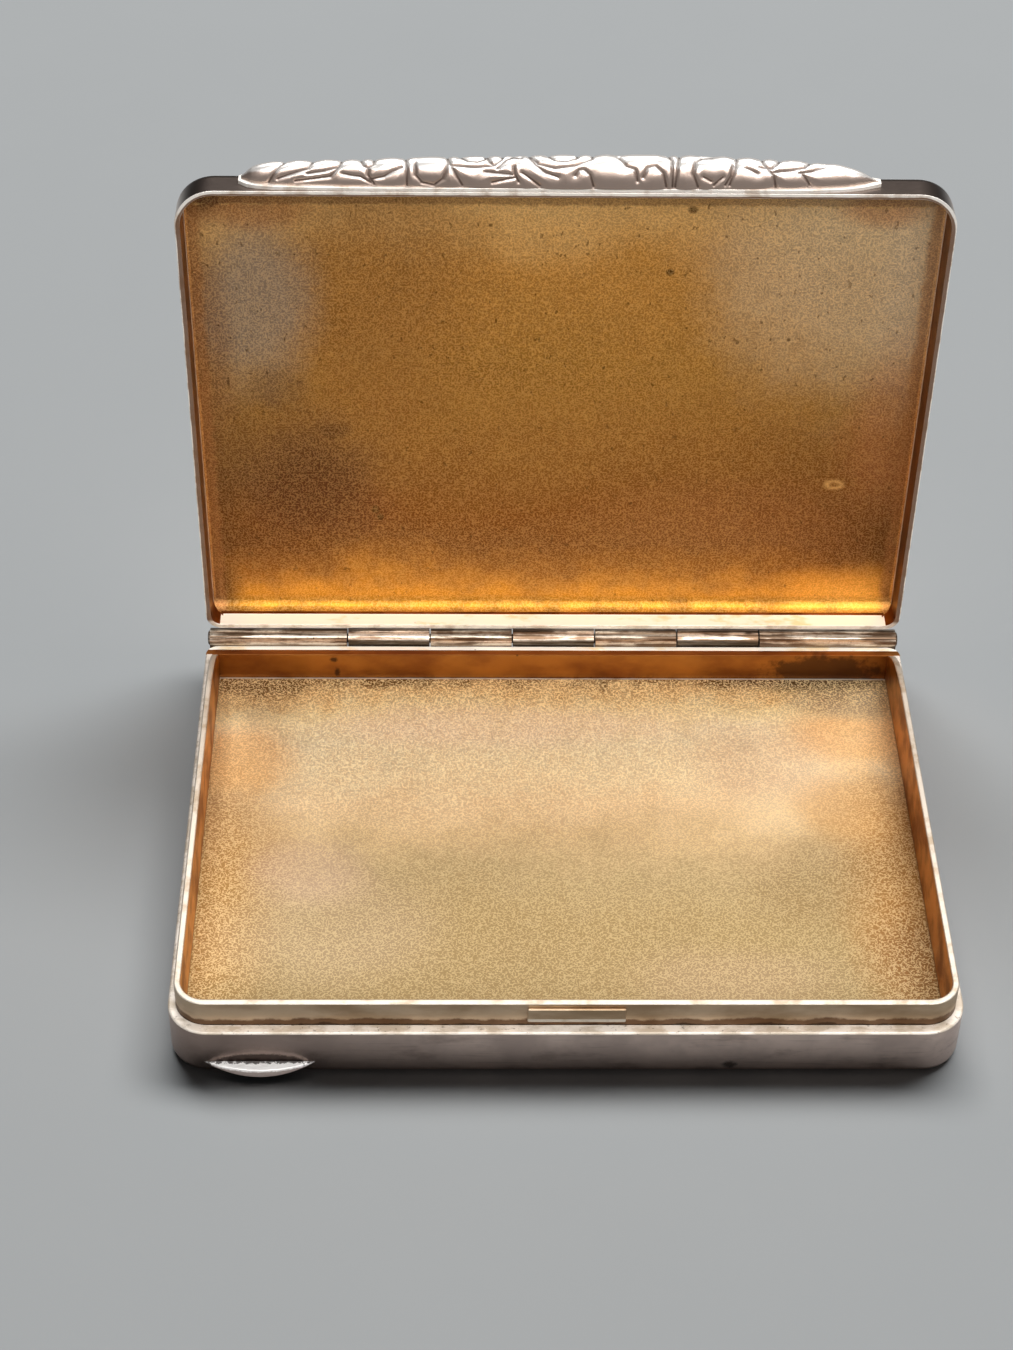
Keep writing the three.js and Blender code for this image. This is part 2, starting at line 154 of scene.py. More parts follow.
def easeEdges(piece, radius, steps=3, sharpest=40, smoothTo=50):
    # small worn rounding on the sharp edges, then smooth shading that keeps the flats flat
    if piece.mode != "OBJECT":
        bpy.ops.object.mode_set(mode="OBJECT")
    applyModifier(piece, "BEVEL", width=radius, segments=steps, limit_method="ANGLE",
                  angle_limit=math.radians(sharpest), use_clamp_overlap=True)
    bpy.ops.object.shade_smooth_by_angle(angle=math.radians(smoothTo))
    applyModifier(piece, "WEIGHTED_NORMAL", keep_sharp=True)


def near(value, place):
    return abs(value - place) < sameSpot


def paint(piece, finish, *others):
    # one finish all over, then others where a face's middle and normal pass their tests, the last on top
    piece.data.materials.append(finish.material)
    for place, (other, test) in enumerate(others, 1):
        piece.data.materials.append(other.material)
        for face in piece.data.polygons:
            if test(face.center, face.normal):
                face.material_index = place


def seat(piece, body, recordSlot, *nodes):
    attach(piece, body)
    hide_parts(*nodes)


# finishes

def tint(red, green, blue):
    # every colour here is given as on a screen, 0 to 255
    def level(value):
        share = value / 255
        return share / 12.92 if share <= 0.04045 else ((share + 0.055) / 1.055) ** 2.4
    return (level(red), level(green), level(blue), 1.0)


class Wire:
    # a shader socket that can stand in a sum
    def __init__(self, finish, socket):
        self.finish = finish
        self.socket = socket

    def math(self, operation, first, second):
        return self.finish.node("ShaderNodeMath", {"operation": operation}, {0: first, 1: second})

    def __add__(self, other):
        return self.math("ADD", self, other)

    def __radd__(self, other):
        return self.math("ADD", other, self)

    def __sub__(self, other):
        return self.math("SUBTRACT", self, other)

    def __rsub__(self, other):
        return self.math("SUBTRACT", other, self)

    def __mul__(self, other):
        return self.math("MULTIPLY", self, other)

    def __rmul__(self, other):
        return self.math("MULTIPLY", other, self)

    def __pow__(self, other):
        return self.math("POWER", self, other)

    def most(self, other):
        return self.math("MAXIMUM", self, other)

    def size(self):
        return self.math("ABSOLUTE", self, 0.0)


class Finish:
    # one procedural material, drawn on Object coordinates
    def __init__(self, name):
        self.material = bpy.data.materials.new(name)
        self.material.use_nodes = True
        self.tree = self.material.node_tree
        self.shader = self.tree.nodes["Principled BSDF"]
        self.place = self.node("ShaderNodeTexCoord", output="Object")
        self.colour = None

    def node(self, kind, settings=None, sockets=None, output=0):
        made = self.tree.nodes.new(kind)
        for name, value in (settings or {}).items():
            setattr(made, name, value)
        for name, value in (sockets or {}).items():
            self.feed(made.inputs[name], value)
        return Wire(self, made.outputs[output])

    def feed(self, socket, value):
        if isinstance(value, Wire):
            self.tree.links.new(value.socket, socket)
        else:
            socket.default_value = tint(*value) if socket.type == "RGBA" else value

    def noise(self, size, detail, rough, stretch=None):
        # size is the width of a blotch in mm; stretch draws it out along the axes
        where = self.place
        if stretch:
            where = self.node("ShaderNodeMapping", None, {"Vector": where, "Scale": stretch})
        return self.node("ShaderNodeTexNoise", None, {
            "Vector": where, "Scale": 1 / (size * mm), "Detail": detail, "Roughness": rough})

    def ease(self, value, start, stop, how="SMOOTHSTEP"):
        # 0 below start, 1 above stop, also downwards
        return self.node("ShaderNodeMapRange", {"interpolation_type": how}, {
            "Value": value, "From Min": start, "From Max": stop})

    def fade(self, value, stops):
        # one colour after another along a value, each stop a place in mm and a colour
        start, colour = stops[0]
        for stop, after in stops[1:]:
            colour = self.blend(self.ease(value, start * mm, stop * mm, "LINEAR"), colour, after)
            start = stop
        return colour

    def patch(self, centre, reach, ragged, amount, soft=0.4):
        # a blotch about a place on the piece, in mm, with a soft and ragged edge
        off = self.node("ShaderNodeVectorMath", {"operation": "SUBTRACT"}, {
            0: self.place, 1: [value * mm for value in centre]})
        scaled = self.node("ShaderNodeVectorMath", {"operation": "MULTIPLY"}, {
            0: off, 1: [1 / (value * mm) for value in reach]})
        far = self.node("ShaderNodeVectorMath", {"operation": "LENGTH"}, {0: scaled}, "Value")
        edge = 0.75  # the middle of the soft edge, as a share of the reach
        return self.ease(far + (ragged - 0.5) * amount * 2, edge + soft, edge - soft)

    def worms(self, size):
        # fine winding lines, as frosting leaves them: 1 on a line, 0 between
        return self.ease((self.noise(size, 1, 0.5) - 0.5).size(), 0.1, 0.0)

    def specks(self, spacing, size, chance):
        # scattered dots: spacing and size in mm, chance is the share of cells that hold one
        cells = {"Vector": self.place, "Scale": 1 / (spacing * mm)}
        distance = self.node("ShaderNodeTexVoronoi", None, cells, "Distance")
        colour = self.node("ShaderNodeTexVoronoi", None, cells, "Color")
        draw = self.node("ShaderNodeSeparateColor", None, {"Color": colour}, "Red")
        dot = self.ease(distance, size / spacing, 0.4 * size / spacing)
        return dot * self.ease(draw, chance, chance - 0.02)

    def axis(self, name):
        return self.node("ShaderNodeSeparateXYZ", None, {"Vector": self.place}, name)

    def facing(self, name):
        # how far the surface faces along an axis of its piece
        normal = self.node("ShaderNodeTexCoord", output="Normal")
        return self.node("ShaderNodeSeparateXYZ", None, {"Vector": normal}, name)

    def blend(self, share, first, second):
        # the colour sockets go by number, because the node's value sockets have the same names
        return self.node("ShaderNodeMix", {"data_type": "RGBA"}, {0: share, 6: first, 7: second}, 2)

    def lay(self, share, tone):
        # one more tone over the colour so far
        self.colour = self.blend(share, self.colour, tone)

    def stains(self, ragged, spots):
        # blotches over the colour so far, each with its centre, reach, tone and strength
        for centre, reach, tone, strength in spots:
            self.lay(self.patch(centre, reach, ragged, 0.35) * strength, tone)

    def bump(self, height, depth, strength, under=None):
        # depth in mm
        sockets = {"Height": height, "Distance": depth * mm, "Strength": strength}
        if under:
            sockets["Normal"] = under
        return self.node("ShaderNodeBump", None, sockets, "Normal")

    def dented(self, size, share, fine, depth, strength):
        # shallow dents of a size in mm, and fine grain for the rest of the relief
        return self.bump(self.noise(size, 3, 0.6) * share + fine * (1 - share), depth, strength)

    def finish(self, rough, normal=None, metal=0.0):
        self.feed(self.shader.inputs["Base Color"], self.colour)
        self.feed(self.shader.inputs["Metallic"], metal)
        self.feed(self.shader.inputs["Roughness"], rough)
        if normal:
            self.feed(self.shader.inputs["Normal"], normal)
        return self


def wornSilver(name, clean, hazed, brown, smears):
    # the edge shade lies on the lid alone, and the marks on the base's front wall alone
    shade = (80, 67, 60)
    dirt = (34, 25, 21)
    wall = -32.8
    made = Finish(name)
    cloud = made.noise(8, 4, 0.55)
    smear = made.noise(3.2, 4, 0.6, stretch=(0.5, 1, 1.3))
    fine = made.noise(0.35, 3, 0.7)
    scratch = made.noise(0.3, 2, 0.5, stretch=(0.05, 1, 1))
    made.colour = made.blend(made.ease(cloud, 0.36, 0.64), clean, hazed)
    made.lay(made.ease(smear, 0.52, 0.72) * smears, brown)
    made.lay(made.ease(scratch, 0.6, 0.7) * 0.24, brown)
    made.lay(made.specks(3.4, 0.2, 0.1) * 0.75, dirt)
    lidEdge = made.ease(made.facing("Z"), 0.3, 0.8) * made.ease(made.axis("Z"), 66 * mm, 70 * mm)
    made.lay(lidEdge * 0.9, shade)
    # centre, reach, ragged edge, its amount and softness, tone, strength
    marks = [
        ((-43, wall, 4), (26, 6, 9), cloud, 0.3, 0.6, brown, 0.8),  # the dull left end
        ((18.5, wall, 1.6), (1.0, 2, 0.7), fine, 0.5, 0.4, dirt, 0.7),
        # painted shade round the lip
        ((-34.5, wall, 2.1), (8.6, 3, 2.9), fine, 0.1, 0.35, shade, 0.75),
        ((-34.5, wall, 2.1), (6.8, 3, 1.75), fine, 0.14, 0.1, dirt, 0.95),  # painted shade: a darker arc just above the lip
    ]
    for centre, reach, ragged, amount, soft, tone, strength in marks:
        made.lay(made.patch(centre, reach, ragged, amount, soft) * strength, tone)
    rough = 0.34 + made.ease(cloud, 0.3, 0.7) * 0.06 + (fine - 0.5) * 0.1
    dents = made.bump(made.noise(6, 2, 0.5), 0.04, 0.5)
    normal = made.bump(scratch * 0.6 + fine * 0.4, 0.004, 0.5, dents)
    return made.finish(rough, normal, metal=1.0)


def rimSilver(name, bright, warm, dirt, tarnish=None):
    # worn edges, bright with warmer clouds
    made = Finish(name)
    cloud = made.noise(2.4, 4, 0.6)
    fine = made.noise(0.25, 3, 0.7)
    made.colour = made.blend(made.ease(cloud, 0.46, 0.68), bright, warm)
    if tarnish:
        tarnish(made, cloud, bright)
    made.lay(made.specks(1.6, 0.14, 0.14), dirt)
    normal = made.dented(1.4, 0.7, fine, 0.06, 0.8)
    return made.finish(0.5 + (fine - 0.5) * 0.2, normal, metal=0.7)


def tarnishLidRim(made, cloud, bright):
    # brown inside a bright outer line, which is wider in front and has a fainter painted highlight line
    # within it there
    look = {
        "brown": (108, 73, 46),
        "corner": 4.7 * mm,
        "frontFrom": (69 * mm, 72 * mm),
        "hingeEnd": (9.4 * mm, 10 * mm),
        "outerLine": 0.07 * mm,
        "frontWider": 0.25 * mm,
        "highlightLine": (0.54 * mm, 0.62 * mm),
    }
    corner = look["corner"]
    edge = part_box("lid_wall_band")[1]
    height = made.axis("Z")
    across = (made.axis("X").size() - (edge.x - corner)).most(0)
    above = (height - (edge.z - corner)).most(0)
    inward = corner - (across ** 2 + above ** 2) ** 0.5 + 0.15 * mm * (cloud - 0.5)
    front = made.ease(height, *look["frontFrom"])
    width = look["outerLine"] + front * look["frontWider"]
    tarnish = made.ease(inward - width, 0, 0.1 * mm) * made.ease(height, *look["hingeEnd"])
    made.lay(tarnish * 0.9, look["brown"])
    # painted highlight along the rim's inner edge, in front
    innerHighlight = made.ease(inward, *look["highlightLine"]) * front
    made.lay(innerHighlight * tarnish * 0.5, bright)


def ledgeSilver():
    look = {"cream": (206, 196, 184), "beige": (172, 158, 140), "dirt": (60, 46, 34)}
    made = Finish("ledgeSilver")
    cloud = made.noise(1.8, 4, 0.65, stretch=(0.5, 1, 1))
    bits = made.noise(0.55, 3, 0.7)
    made.colour = made.blend(made.ease(cloud, 0.42, 0.62), look["cream"], look["beige"])
    made.lay(made.ease(bits, 0.6, 0.7) * 0.6, look["dirt"])
    rough = 0.45 + (bits - 0.5) * 0.3
    normal = made.bump(bits * 0.6 + cloud * 0.4, 0.06, 0.8)
    return made.finish(rough, normal, metal=0.2)


def sillSilver():
    # beside the hinge, worn through the gilding to white silver
    look = {"white": (250, 244, 232), "gold": (242, 218, 178), "dirt": (96, 84, 56)}
    made = Finish("sillSilver")
    cloud = made.noise(2.6, 4, 0.6, stretch=(0.5, 1, 1))
    fine = made.noise(0.3, 3, 0.7)
    made.colour = made.blend(made.ease(cloud, 0.54, 0.7), look["white"], look["gold"])
    made.lay(made.specks(2.6, 0.26, 0.12) * 0.8, look["dirt"])
    rough = 0.45 + (fine - 0.5) * 0.2
    normal = made.bump(fine * 0.5 + cloud * 0.5, 0.02, 0.5)
    return made.finish(rough, normal, metal=0.35)


def lipSilver():
    look = {"white": (250, 246, 242), "grey": (158, 144, 138), "dirt": (60, 50, 46)}
    made = Finish("lipSilver")
    rugged = made.noise(0.5, 4, 0.7)
    height = made.axis("Z") + 0.6 * mm * (rugged - 0.5)
    # painted light and shade: white on the lip's top, grey lower down
    made.colour = made.blend(made.ease(height, 1.7 * mm, 2.05 * mm), look["grey"], look["white"])
    creep = made.ease(made.axis("Y") + 1.8 * mm * (rugged - 0.5), -33.15 * mm, -32.95 * mm)
    made.lay(creep * 0.9, look["dirt"])  # darker next to the wall, where the lip meets it
    made.lay(made.specks(1.2, 0.2, 0.2) * 0.7, look["dirt"])
    normal = made.bump(rugged, 0.16, 0.9)
    return made.finish(0.5 + (rugged - 0.5) * 0.2, normal, metal=0.5)


def lidGilt():
    # frosted gilt, paler towards the lid's front edge and deep orange along the hinge, that orange partly
    # painted light from the hinge corner
    look = {
        "rise": [(11, (208, 141, 44)), (13, (182, 124, 50)), (16, (146, 97, 45)),
                 (20, (117, 74, 39)), (25, (120, 73, 31)), (30, (133, 91, 44)),
                 (36, (150, 108, 54)), (48, (178, 134, 66)), (61, (206, 152, 76)),
                 (72, (246, 204, 138))],
        "sideHighlight": (182, 124, 76),
        "band": (116, 82, 58),
        "dark": (70, 44, 22),
        "glint": (240, 196, 126),
        "plate": (38, 20),  # depth of the plate, and a reach right through it
        "sideHighlightFrom": (42.2 * mm, 43.2 * mm),
        "frontBand": 70.1 * mm,
        "hingeCove": (10.8 * mm, 10.0 * mm),
    }
    # across, up, half width, half height, tone, strength
    stains = [
        (-24, 58, 18, 21, (152, 102, 54), 0.5),  # brown haze left of the middle
        (36, 60, 21, 21, (230, 208, 174), 0.65),  # pale wear at the right
        (44, 60, 8, 18, (226, 202, 170), 0.6),
        (-37, 56, 9, 15, (172, 160, 146), 0.75),  # grey wear at the left edge
        (-43, 50, 4, 22, (150, 104, 72), 0.5),
        (-44, 72, 9, 8, (168, 108, 66), 0.6),
        (-33, 31, 14, 12, (112, 80, 56), 0.65),  # the dark stain low at the left
        (-45, 28, 5, 14, (112, 72, 42), 0.5),
        (24, 24, 22, 7, (138, 94, 60), 0.45),
        (38, 12, 11, 5, (240, 170, 66), 0.7),  # bright gold in the right hinge corner, partly painted light
        (-44, 12, 4, 5, (80, 46, 26), 0.8),
        (-30, 26, 13, 6, (118, 66, 40), 0.4),
        (-31, 28, 9, 10, (84, 50, 33), 0.7),
        (-34.5, 44, 5, 4.5, (104, 80, 64), 0.45),
        (42, 38, 8, 15, (200, 124, 82), 0.4),  # reddish at the right edge
        (-36, 69.5, 8, 3.5, (172, 100, 52), 0.5),  # orange and maroon in the front corners
        (37, 69.8, 6, 3, (190, 114, 58), 0.5),
        (-42.6, 71.6, 3.4, 3.4, (72, 36, 26), 0.75),
        (-22.9, 25.2, 0.6, 0.7, look["dark"], 0.9),  # single spots and pits
        (-22.3, 24.0, 0.5, 0.6, look["dark"], 0.9),
        (14.8, 69.6, 0.7, 0.6, look["dark"], 0.8),
        (12.6, 61, 0.6, 0.5, look["dark"], 0.8),
        (35, 29.4, 1.5, 0.9, look["glint"], 0.8),
        (35, 29.4, 0.9, 0.5, (138, 94, 50), 0.9),
        (-27.7, 37.5, 2.6, 1.5, (96, 64, 40), 0.6),
    ]
    deep, reach = look["plate"]
    spots = [((x, deep, z), (wide, reach, tall), tone, much) for x, z, wide, tall, tone, much in stains]
    made = Finish("lidGilt")
    ragged = made.noise(11, 7, 0.62)
    mottle = made.noise(3.5, 5, 0.65)
    coarse = made.noise(1.3, 3, 0.6)
    worms = made.worms(0.39)
    dashes = made.ease(made.noise(0.8, 2, 0.6, stretch=(1, 1, 0.6)), 0.66, 0.72)
    height = made.axis("Z") + 12 * mm * (ragged - 0.5) + 4 * mm * (mottle - 0.5)
    made.colour = made.fade(height, look["rise"])
    made.stains(ragged, spots)
    cove = made.ease(made.axis("Z"), *look["hingeCove"])
    made.lay(cove * made.ease(mottle, 0.4, 0.6) * 0.4, look["dark"])
    # painted highlight in orange along the side walls, and a brown band in front with a broken painted
    # highlight line inside it
    stray = 0.8 * mm * (coarse - 0.5) + 1.2 * mm * (mottle - 0.5)
    side = made.ease(made.axis("X").size() + stray, *look["sideHighlightFrom"])
    made.lay(side * 0.6, look["sideHighlight"])
    over = made.axis("Z") - look["frontBand"] + stray
    made.lay(made.ease(over, -0.2 * mm, 0.2 * mm) * 0.5, look["band"])
    line = made.ease(over.size(), 0.2 * mm, 0.06 * mm) * made.ease(mottle, 0.44, 0.6)
    made.lay(line * 0.5, look["glint"])
    made.lay(made.ease(mottle, 0.5, 0.75) * 0.16, look["dark"])
    made.lay((1 - worms) * 0.25, look["dark"])
    made.lay(worms * 0.23, look["glint"])
    made.lay(dashes * 0.45, look["dark"])
    made.lay(made.specks(4.5, 0.32, 0.2) * 0.6, look["dark"])
    rough = 0.54 + (worms - 0.5) * 0.12 + (coarse - 0.5) * 0.1
    normal = made.bump(worms * 0.5 + coarse * 0.5, 0.025, 0.7)
    return made.finish(rough, normal, metal=1.0)


def floorGilt():
    # frosted gilt, olive gold in front and paler to cream behind, the cream partly wear and partly painted
    # light
    look = {
        "run": [(-24, (141, 122, 86)), (-17, (151, 131, 93)), (-11, (158, 138, 98)),
                (-4, (173, 155, 117)), (2, (209, 187, 148)), (8, (240, 220, 184)),
                (14, (255, 244, 212)), (20, (255, 250, 224)), (25.5, (255, 246, 206)),
                (28.6, (250, 222, 165)), (30.8, (146, 114, 62))],
        "dark": (104, 74, 42),
        "glint": (255, 234, 184),
        "sheet": (3, 9),  # height of the sheet, and a reach right through it
        "rear": (22 * mm, 29 * mm),
        "sides": (32 * mm, 44 * mm),
    }
    # across, back, half width, half depth, tone, strength
    stains = [
        (-43, -3, 13, 25, (166, 124, 66), 0.8),  # orange along both sides
        (43, -6, 11, 24, (164, 116, 58), 0.85),
        (36, 7, 8, 8, (210, 166, 104), 0.6),
        (-39, 16, 8, 8, (242, 196, 130), 0.6),
        (37, 20, 10, 7, (236, 184, 112), 0.7),
        (26, 15, 11, 8, (234, 212, 184), 0.55),  # grey wear
        (-28, -13, 16, 11, (172, 154, 128), 0.5),
        (30, -5, 12, 10, (146, 122, 84), 0.5),
        (-6, 22, 27, 5, (255, 238, 218), 0.5),  # pinkish where the gilding is thinnest
        (-31, -4, 9, 7, (196, 172, 152), 0.5),
        (20, -21, 15, 6, (166, 144, 118), 0.45),
        (-39, 27, 9, 6, (150, 118, 80), 0.5),
        (38, 26.5, 9, 4, (176, 156, 130), 0.75),
        (33, 31, 14, 2.8, (100, 70, 44), 0.85),  # soot in the right rear corner
        (43, -19, 9, 11, (130, 92, 54), 0.8),
    ]
    up, reach = look["sheet"]
    spots = [((x, y, up), (wide, long, reach), tone, much) for x, y, wide, long, tone, much in stains]
    made = Finish("floorGilt")
    ragged = made.noise(16, 5, 0.6)
    mottle = made.noise(4, 5, 0.65)
    coarse = made.noise(1.3, 3, 0.6)
    worms = made.worms(0.39)
    depth = made.axis("Y") + 12 * mm * (ragged - 0.5) + 4 * mm * (mottle - 0.5)
    made.colour = made.fade(depth, look["run"])
    made.stains(ragged, spots)
    made.lay(made.ease(mottle, 0.5, 0.75) * 0.12, look["dark"])
    rear = made.ease(made.axis("Y"), *look["rear"])
    strong = rear.most(made.ease(made.axis("X").size(), *look["sides"]) * 0.35)
    made.lay((1 - worms) * (0.2 + strong * 0.15), look["dark"])
    made.lay(worms * (0.3 + strong * 0.55), look["glint"])
    made.lay(made.specks(6.0, 0.24, 0.1) * 0.6, look["dark"])
    rough = 0.72 + (worms - 0.5) * 0.16
    normal = made.bump(worms * 0.5 + coarse * 0.5, 0.02, 0.7)
    return made.finish(rough, normal, metal=1.0)


def wallGilt():
    look = {"gold": (213, 146, 64), "brown": (141, 79, 26), "dirt": (44, 28, 16)}
    made = Finish("wallGilt")
    cloud = made.noise(5, 4, 0.55)
    fine = made.noise(0.3, 3, 0.7)
    drip = made.noise(1.2, 3, 0.6, stretch=(1, 1, 0.25))
    height = made.axis("Z")
    made.colour = made.blend(made.ease(cloud, 0.38, 0.66), look["gold"], look["brown"])
    foot = made.ease(height + 2 * mm * (cloud - 0.5), 3.8 * mm, 3.1 * mm)
    made.lay(foot * 0.5, look["dirt"])
    made.lay(made.ease(drip, 0.68, 0.8) * 0.6, look["dirt"])
    rough = 0.34 + (fine - 0.5) * 0.2 + made.ease(cloud, 0.4, 0.7) * 0.1
    normal = made.dented(2.2, 0.6, fine, 0.02, 0.5)
    return made.finish(rough, normal, metal=1.0)


def rearGilt():
    # the rear wall under the hinge, deep orange brown with two dark drops and a sooty right end
    look = {"orange": (124, 78, 36), "brown": (98, 56, 26), "dirt": (40, 26, 18)}
    made = Finish("rearGilt")
    cloud = made.noise(6, 4, 0.55, stretch=(0.6, 1, 1))
    fine = made.noise(0.3, 3, 0.7)
    made.colour = made.blend(made.ease(cloud, 0.38, 0.66), look["orange"], look["brown"])
    run = made.patch((-28.5, 31.1, 6.1), (0.6, 2, 0.5), fine, 0.5)
    run = run.most(made.patch((-28.1, 31.1, 3.9), (0.42, 2, 0.9), fine, 0.5))
    soot = made.patch((35, 31.1, 4.2), (8.5, 2, 3.2), made.noise(2.4, 5, 0.65), 0.9, 0.2)
    made.lay(run.most(soot * 0.85) * 0.85, look["dirt"])
    made.lay(made.specks(2.4, 0.2, 0.12) * 0.7, look["dirt"])
    normal = made.dented(2.2, 0.6, fine, 0.02, 0.5)
    return made.finish(0.36 + (fine - 0.5) * 0.2, normal, metal=1.0)


def bezelOutside():
    look = {"silver": (190, 168, 142), "brown": (158, 134, 106), "footDirtAndShade": (80, 50, 27), "dirt": (38, 25, 15)}
    made = Finish("bezelOutside")
    cloud = made.noise(5, 4, 0.55, stretch=(0.5, 0.5, 1.4))
    fine = made.noise(0.3, 3, 0.7)
    ragged = made.noise(3.2, 5, 0.62)
    height = made.axis("Z") + 1.8 * mm * (ragged - 0.5)
    made.colour = made.blend(made.ease(cloud, 0.4, 0.66), look["silver"], look["brown"])
    # at the foot, a brown band and a darker line: dirt, and painted shade where the bezel meets the ledge
    made.lay(made.ease(height, 8.2 * mm, 7.8 * mm) * 0.85, look["footDirtAndShade"])
    made.lay(made.ease(height, 7.3 * mm, 7.1 * mm) * 0.7, look["dirt"])
    made.lay(made.specks(4.2, 0.45, 0.14) * 0.5, look["dirt"])
    rough = 0.46 + (fine - 0.5) * 0.2
    normal = made.dented(1.6, 0.7, fine, 0.012, 0.5)
    return made.finish(rough, normal, metal=1.0)


def tubeSilver(name, clean, brown, under, undersideShadeTop, seamShadowFrom):
    # drawn tube, bright along its crown, with painted shade on its underside below one height and a painted
    # shadow in the seam above another
    dirt = (38, 28, 20)
    made = Finish(name)
    cloud = made.noise(2.4, 4, 0.6, stretch=(0.5, 1, 1))
    fine = made.noise(0.25, 3, 0.7)
    draw = made.noise(0.3, 2, 0.5, stretch=(0.04, 1, 1))
    made.colour = made.blend(made.ease(cloud * 0.5 + draw * 0.5, 0.42, 0.56), clean, brown)
    made.lay(made.ease(made.noise(0.4, 4, 0.7), 0.5, 0.66) * 0.4, brown)
    height = made.axis("Z") + 0.6 * mm * (cloud - 0.5)
    # painted shade on the underside, and a painted shadow in the seam at the top
    made.lay(made.ease(height, (undersideShadeTop + 0.2) * mm, (undersideShadeTop - 0.2) * mm) * 0.9, under)
    made.lay(made.ease(height, seamShadowFrom * mm, (seamShadowFrom + 0.1) * mm) * 0.9, dirt)
    # the cut ends are dark where two knuckles meet, and clean at the ends of the row
    within = made.ease(made.axis("X").size(), 44 * mm, 43 * mm)
    joint = made.ease(made.facing("X").size(), 0.1, 0.4) * within
    made.lay(joint, dirt)
    made.lay(made.specks(1.3, 0.14, 0.16), dirt)
    rough = 0.34 + (fine - 0.5) * 0.2 + made.ease(cloud, 0.45, 0.7) * 0.1 + joint * 0.4
    normal = made.bump(draw * 0.4 + fine * 0.2 + cloud * 0.4, 0.03, 0.7)
    return made.finish(rough, normal, metal=(1 - joint) * 0.75)


def lidWallGilt():
    look = {"gold": (132, 84, 46), "brown": (92, 54, 27), "dirt": (44, 28, 16)}
    made = Finish("lidWallGilt")
    cloud = made.noise(5, 4, 0.55)
    fine = made.noise(0.3, 3, 0.7)
    made.colour = made.blend(made.ease(cloud, 0.38, 0.64), look["gold"], look["brown"])
    made.lay(made.specks(2.2, 0.2, 0.16) * 0.7, look["dirt"])
    normal = made.dented(2.2, 0.6, fine, 0.02, 0.5)
    return made.finish(0.38 + (fine - 0.5) * 0.2, normal, metal=1.0)


def castSilver():
    look = {
        "bright": (242, 236, 230),
        "hazed": (156, 136, 124),
        "shaded": (124, 113, 106),
        "dirt": (62, 45, 36),
    }
    made = Finish("castSilver")
    cloud = made.noise(1.6, 4, 0.6)
    fine = made.noise(0.22, 3, 0.7)
    recess = made.node("ShaderNodeAttribute", {"attribute_name": "recess"}, None, "Fac")
    # bright on top where hands polish it, and hazed on the flanks, the haze partly tarnish and partly
    # painted shade by facing
    flankHazeAndShade = made.ease(made.facing("Z") + (cloud - 0.5) * 0.5, 0.76, 0.56)
    made.colour = made.blend(flankHazeAndShade * 0.95, look["bright"], look["hazed"])
    # painted shade on the faces turned to the back
    made.lay(made.ease(made.facing("Y"), 0.3, 0.65) * 0.7, look["shaded"])
    made.lay(made.ease(recess + (fine - 0.5) * 0.3, 0.4, 1.0) * 0.85, look["dirt"])
    rough = 0.36 + (fine - 0.5) * 0.14 + recess * 0.2
    normal = made.dented(0.9, 0.5, fine, 0.02, 0.6)
    return made.finish(rough, normal, metal=0.8)


def drawnSteel():
    made = Finish("drawnSteel")
    draw = made.noise(0.2, 2, 0.5, stretch=(0.05, 1, 1))
    made.colour = made.blend(draw, (46, 38, 32), (26, 21, 18))
    normal = made.bump(draw, 0.01, 0.5)
    return made.finish(0.5 + draw * 0.15, normal, metal=1.0)


silver = wornSilver("traySilver", (232, 210, 198), (204, 184, 174), (146, 126, 117), 0.5)
lidSilver = wornSilver("lidSilver", (214, 202, 193), (208, 195, 185), (166, 148, 136), 0.16)
rim = rimSilver("brightRim", (192, 182, 168), (166, 149, 128), (70, 54, 40))
lidRim = rimSilver("lidRimSilver", (238, 232, 224), (204, 190, 176), (60, 44, 32), tarnishLidRim)
ledge = ledgeSilver()
sill = sillSilver()
lipFace = lipSilver()
giltLid = lidGilt()
giltLidWall = lidWallGilt()
giltFloor = floorGilt()
giltWall = wallGilt()
giltRear = rearGilt()
bezelFace = bezelOutside()
baseTube = tubeSilver("baseTube", (178, 165, 149), (80, 61, 44), (80, 62, 45), 7.1, 8.6)
lidTube = tubeSilver("lidTube", (216, 198, 180), (106, 82, 61), (58, 47, 32), 7.6, 8.3)
cast = castSilver()
steel = drawnSteel()
print("finishes made")


# base: the tray with its rounded foot, the wire ledge along its top, and the rear wall

trayShape = {
    "frontCorner": 4.7 * mm,
    "foot": 1.2 * mm,
    "sideWall": 0.85 * mm,
    "frontWall": 1.2 * mm,
    "bottom": 0.8 * mm,
    "spare": 4 * mm,  # at the rear, cut off again
    "wear": 0.08 * mm,
}
ledgeShape = {"depth": 0.3 * mm, "round": 0.26 * mm, "outline": 0.3 * mm, "wear": 0.04 * mm}
rearShape = {
    "corner": 1.55 * mm,
    "foot": 1.1 * mm,
    "topRound": 0.42 * mm,
    "brightTop": 0.95 * mm,
    "wear": 0.1 * mm,
}


def startPan(name, bottom, top):
    # a block with the case's round front corners, longer at the rear than the walls will be
    low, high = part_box("base_wall_band")
    pan = startBlock(name, (low.x, low.y, bottom), (high.x, high.y + trayShape["spare"], top))
    roundCorners(trayShape["frontCorner"], 16, alongY, low.y, high.x)
    return pan


def thickenFront(point):
    if point.y < 0:
        point.y += trayShape["frontWall"] - trayShape["sideWall"]
    return point


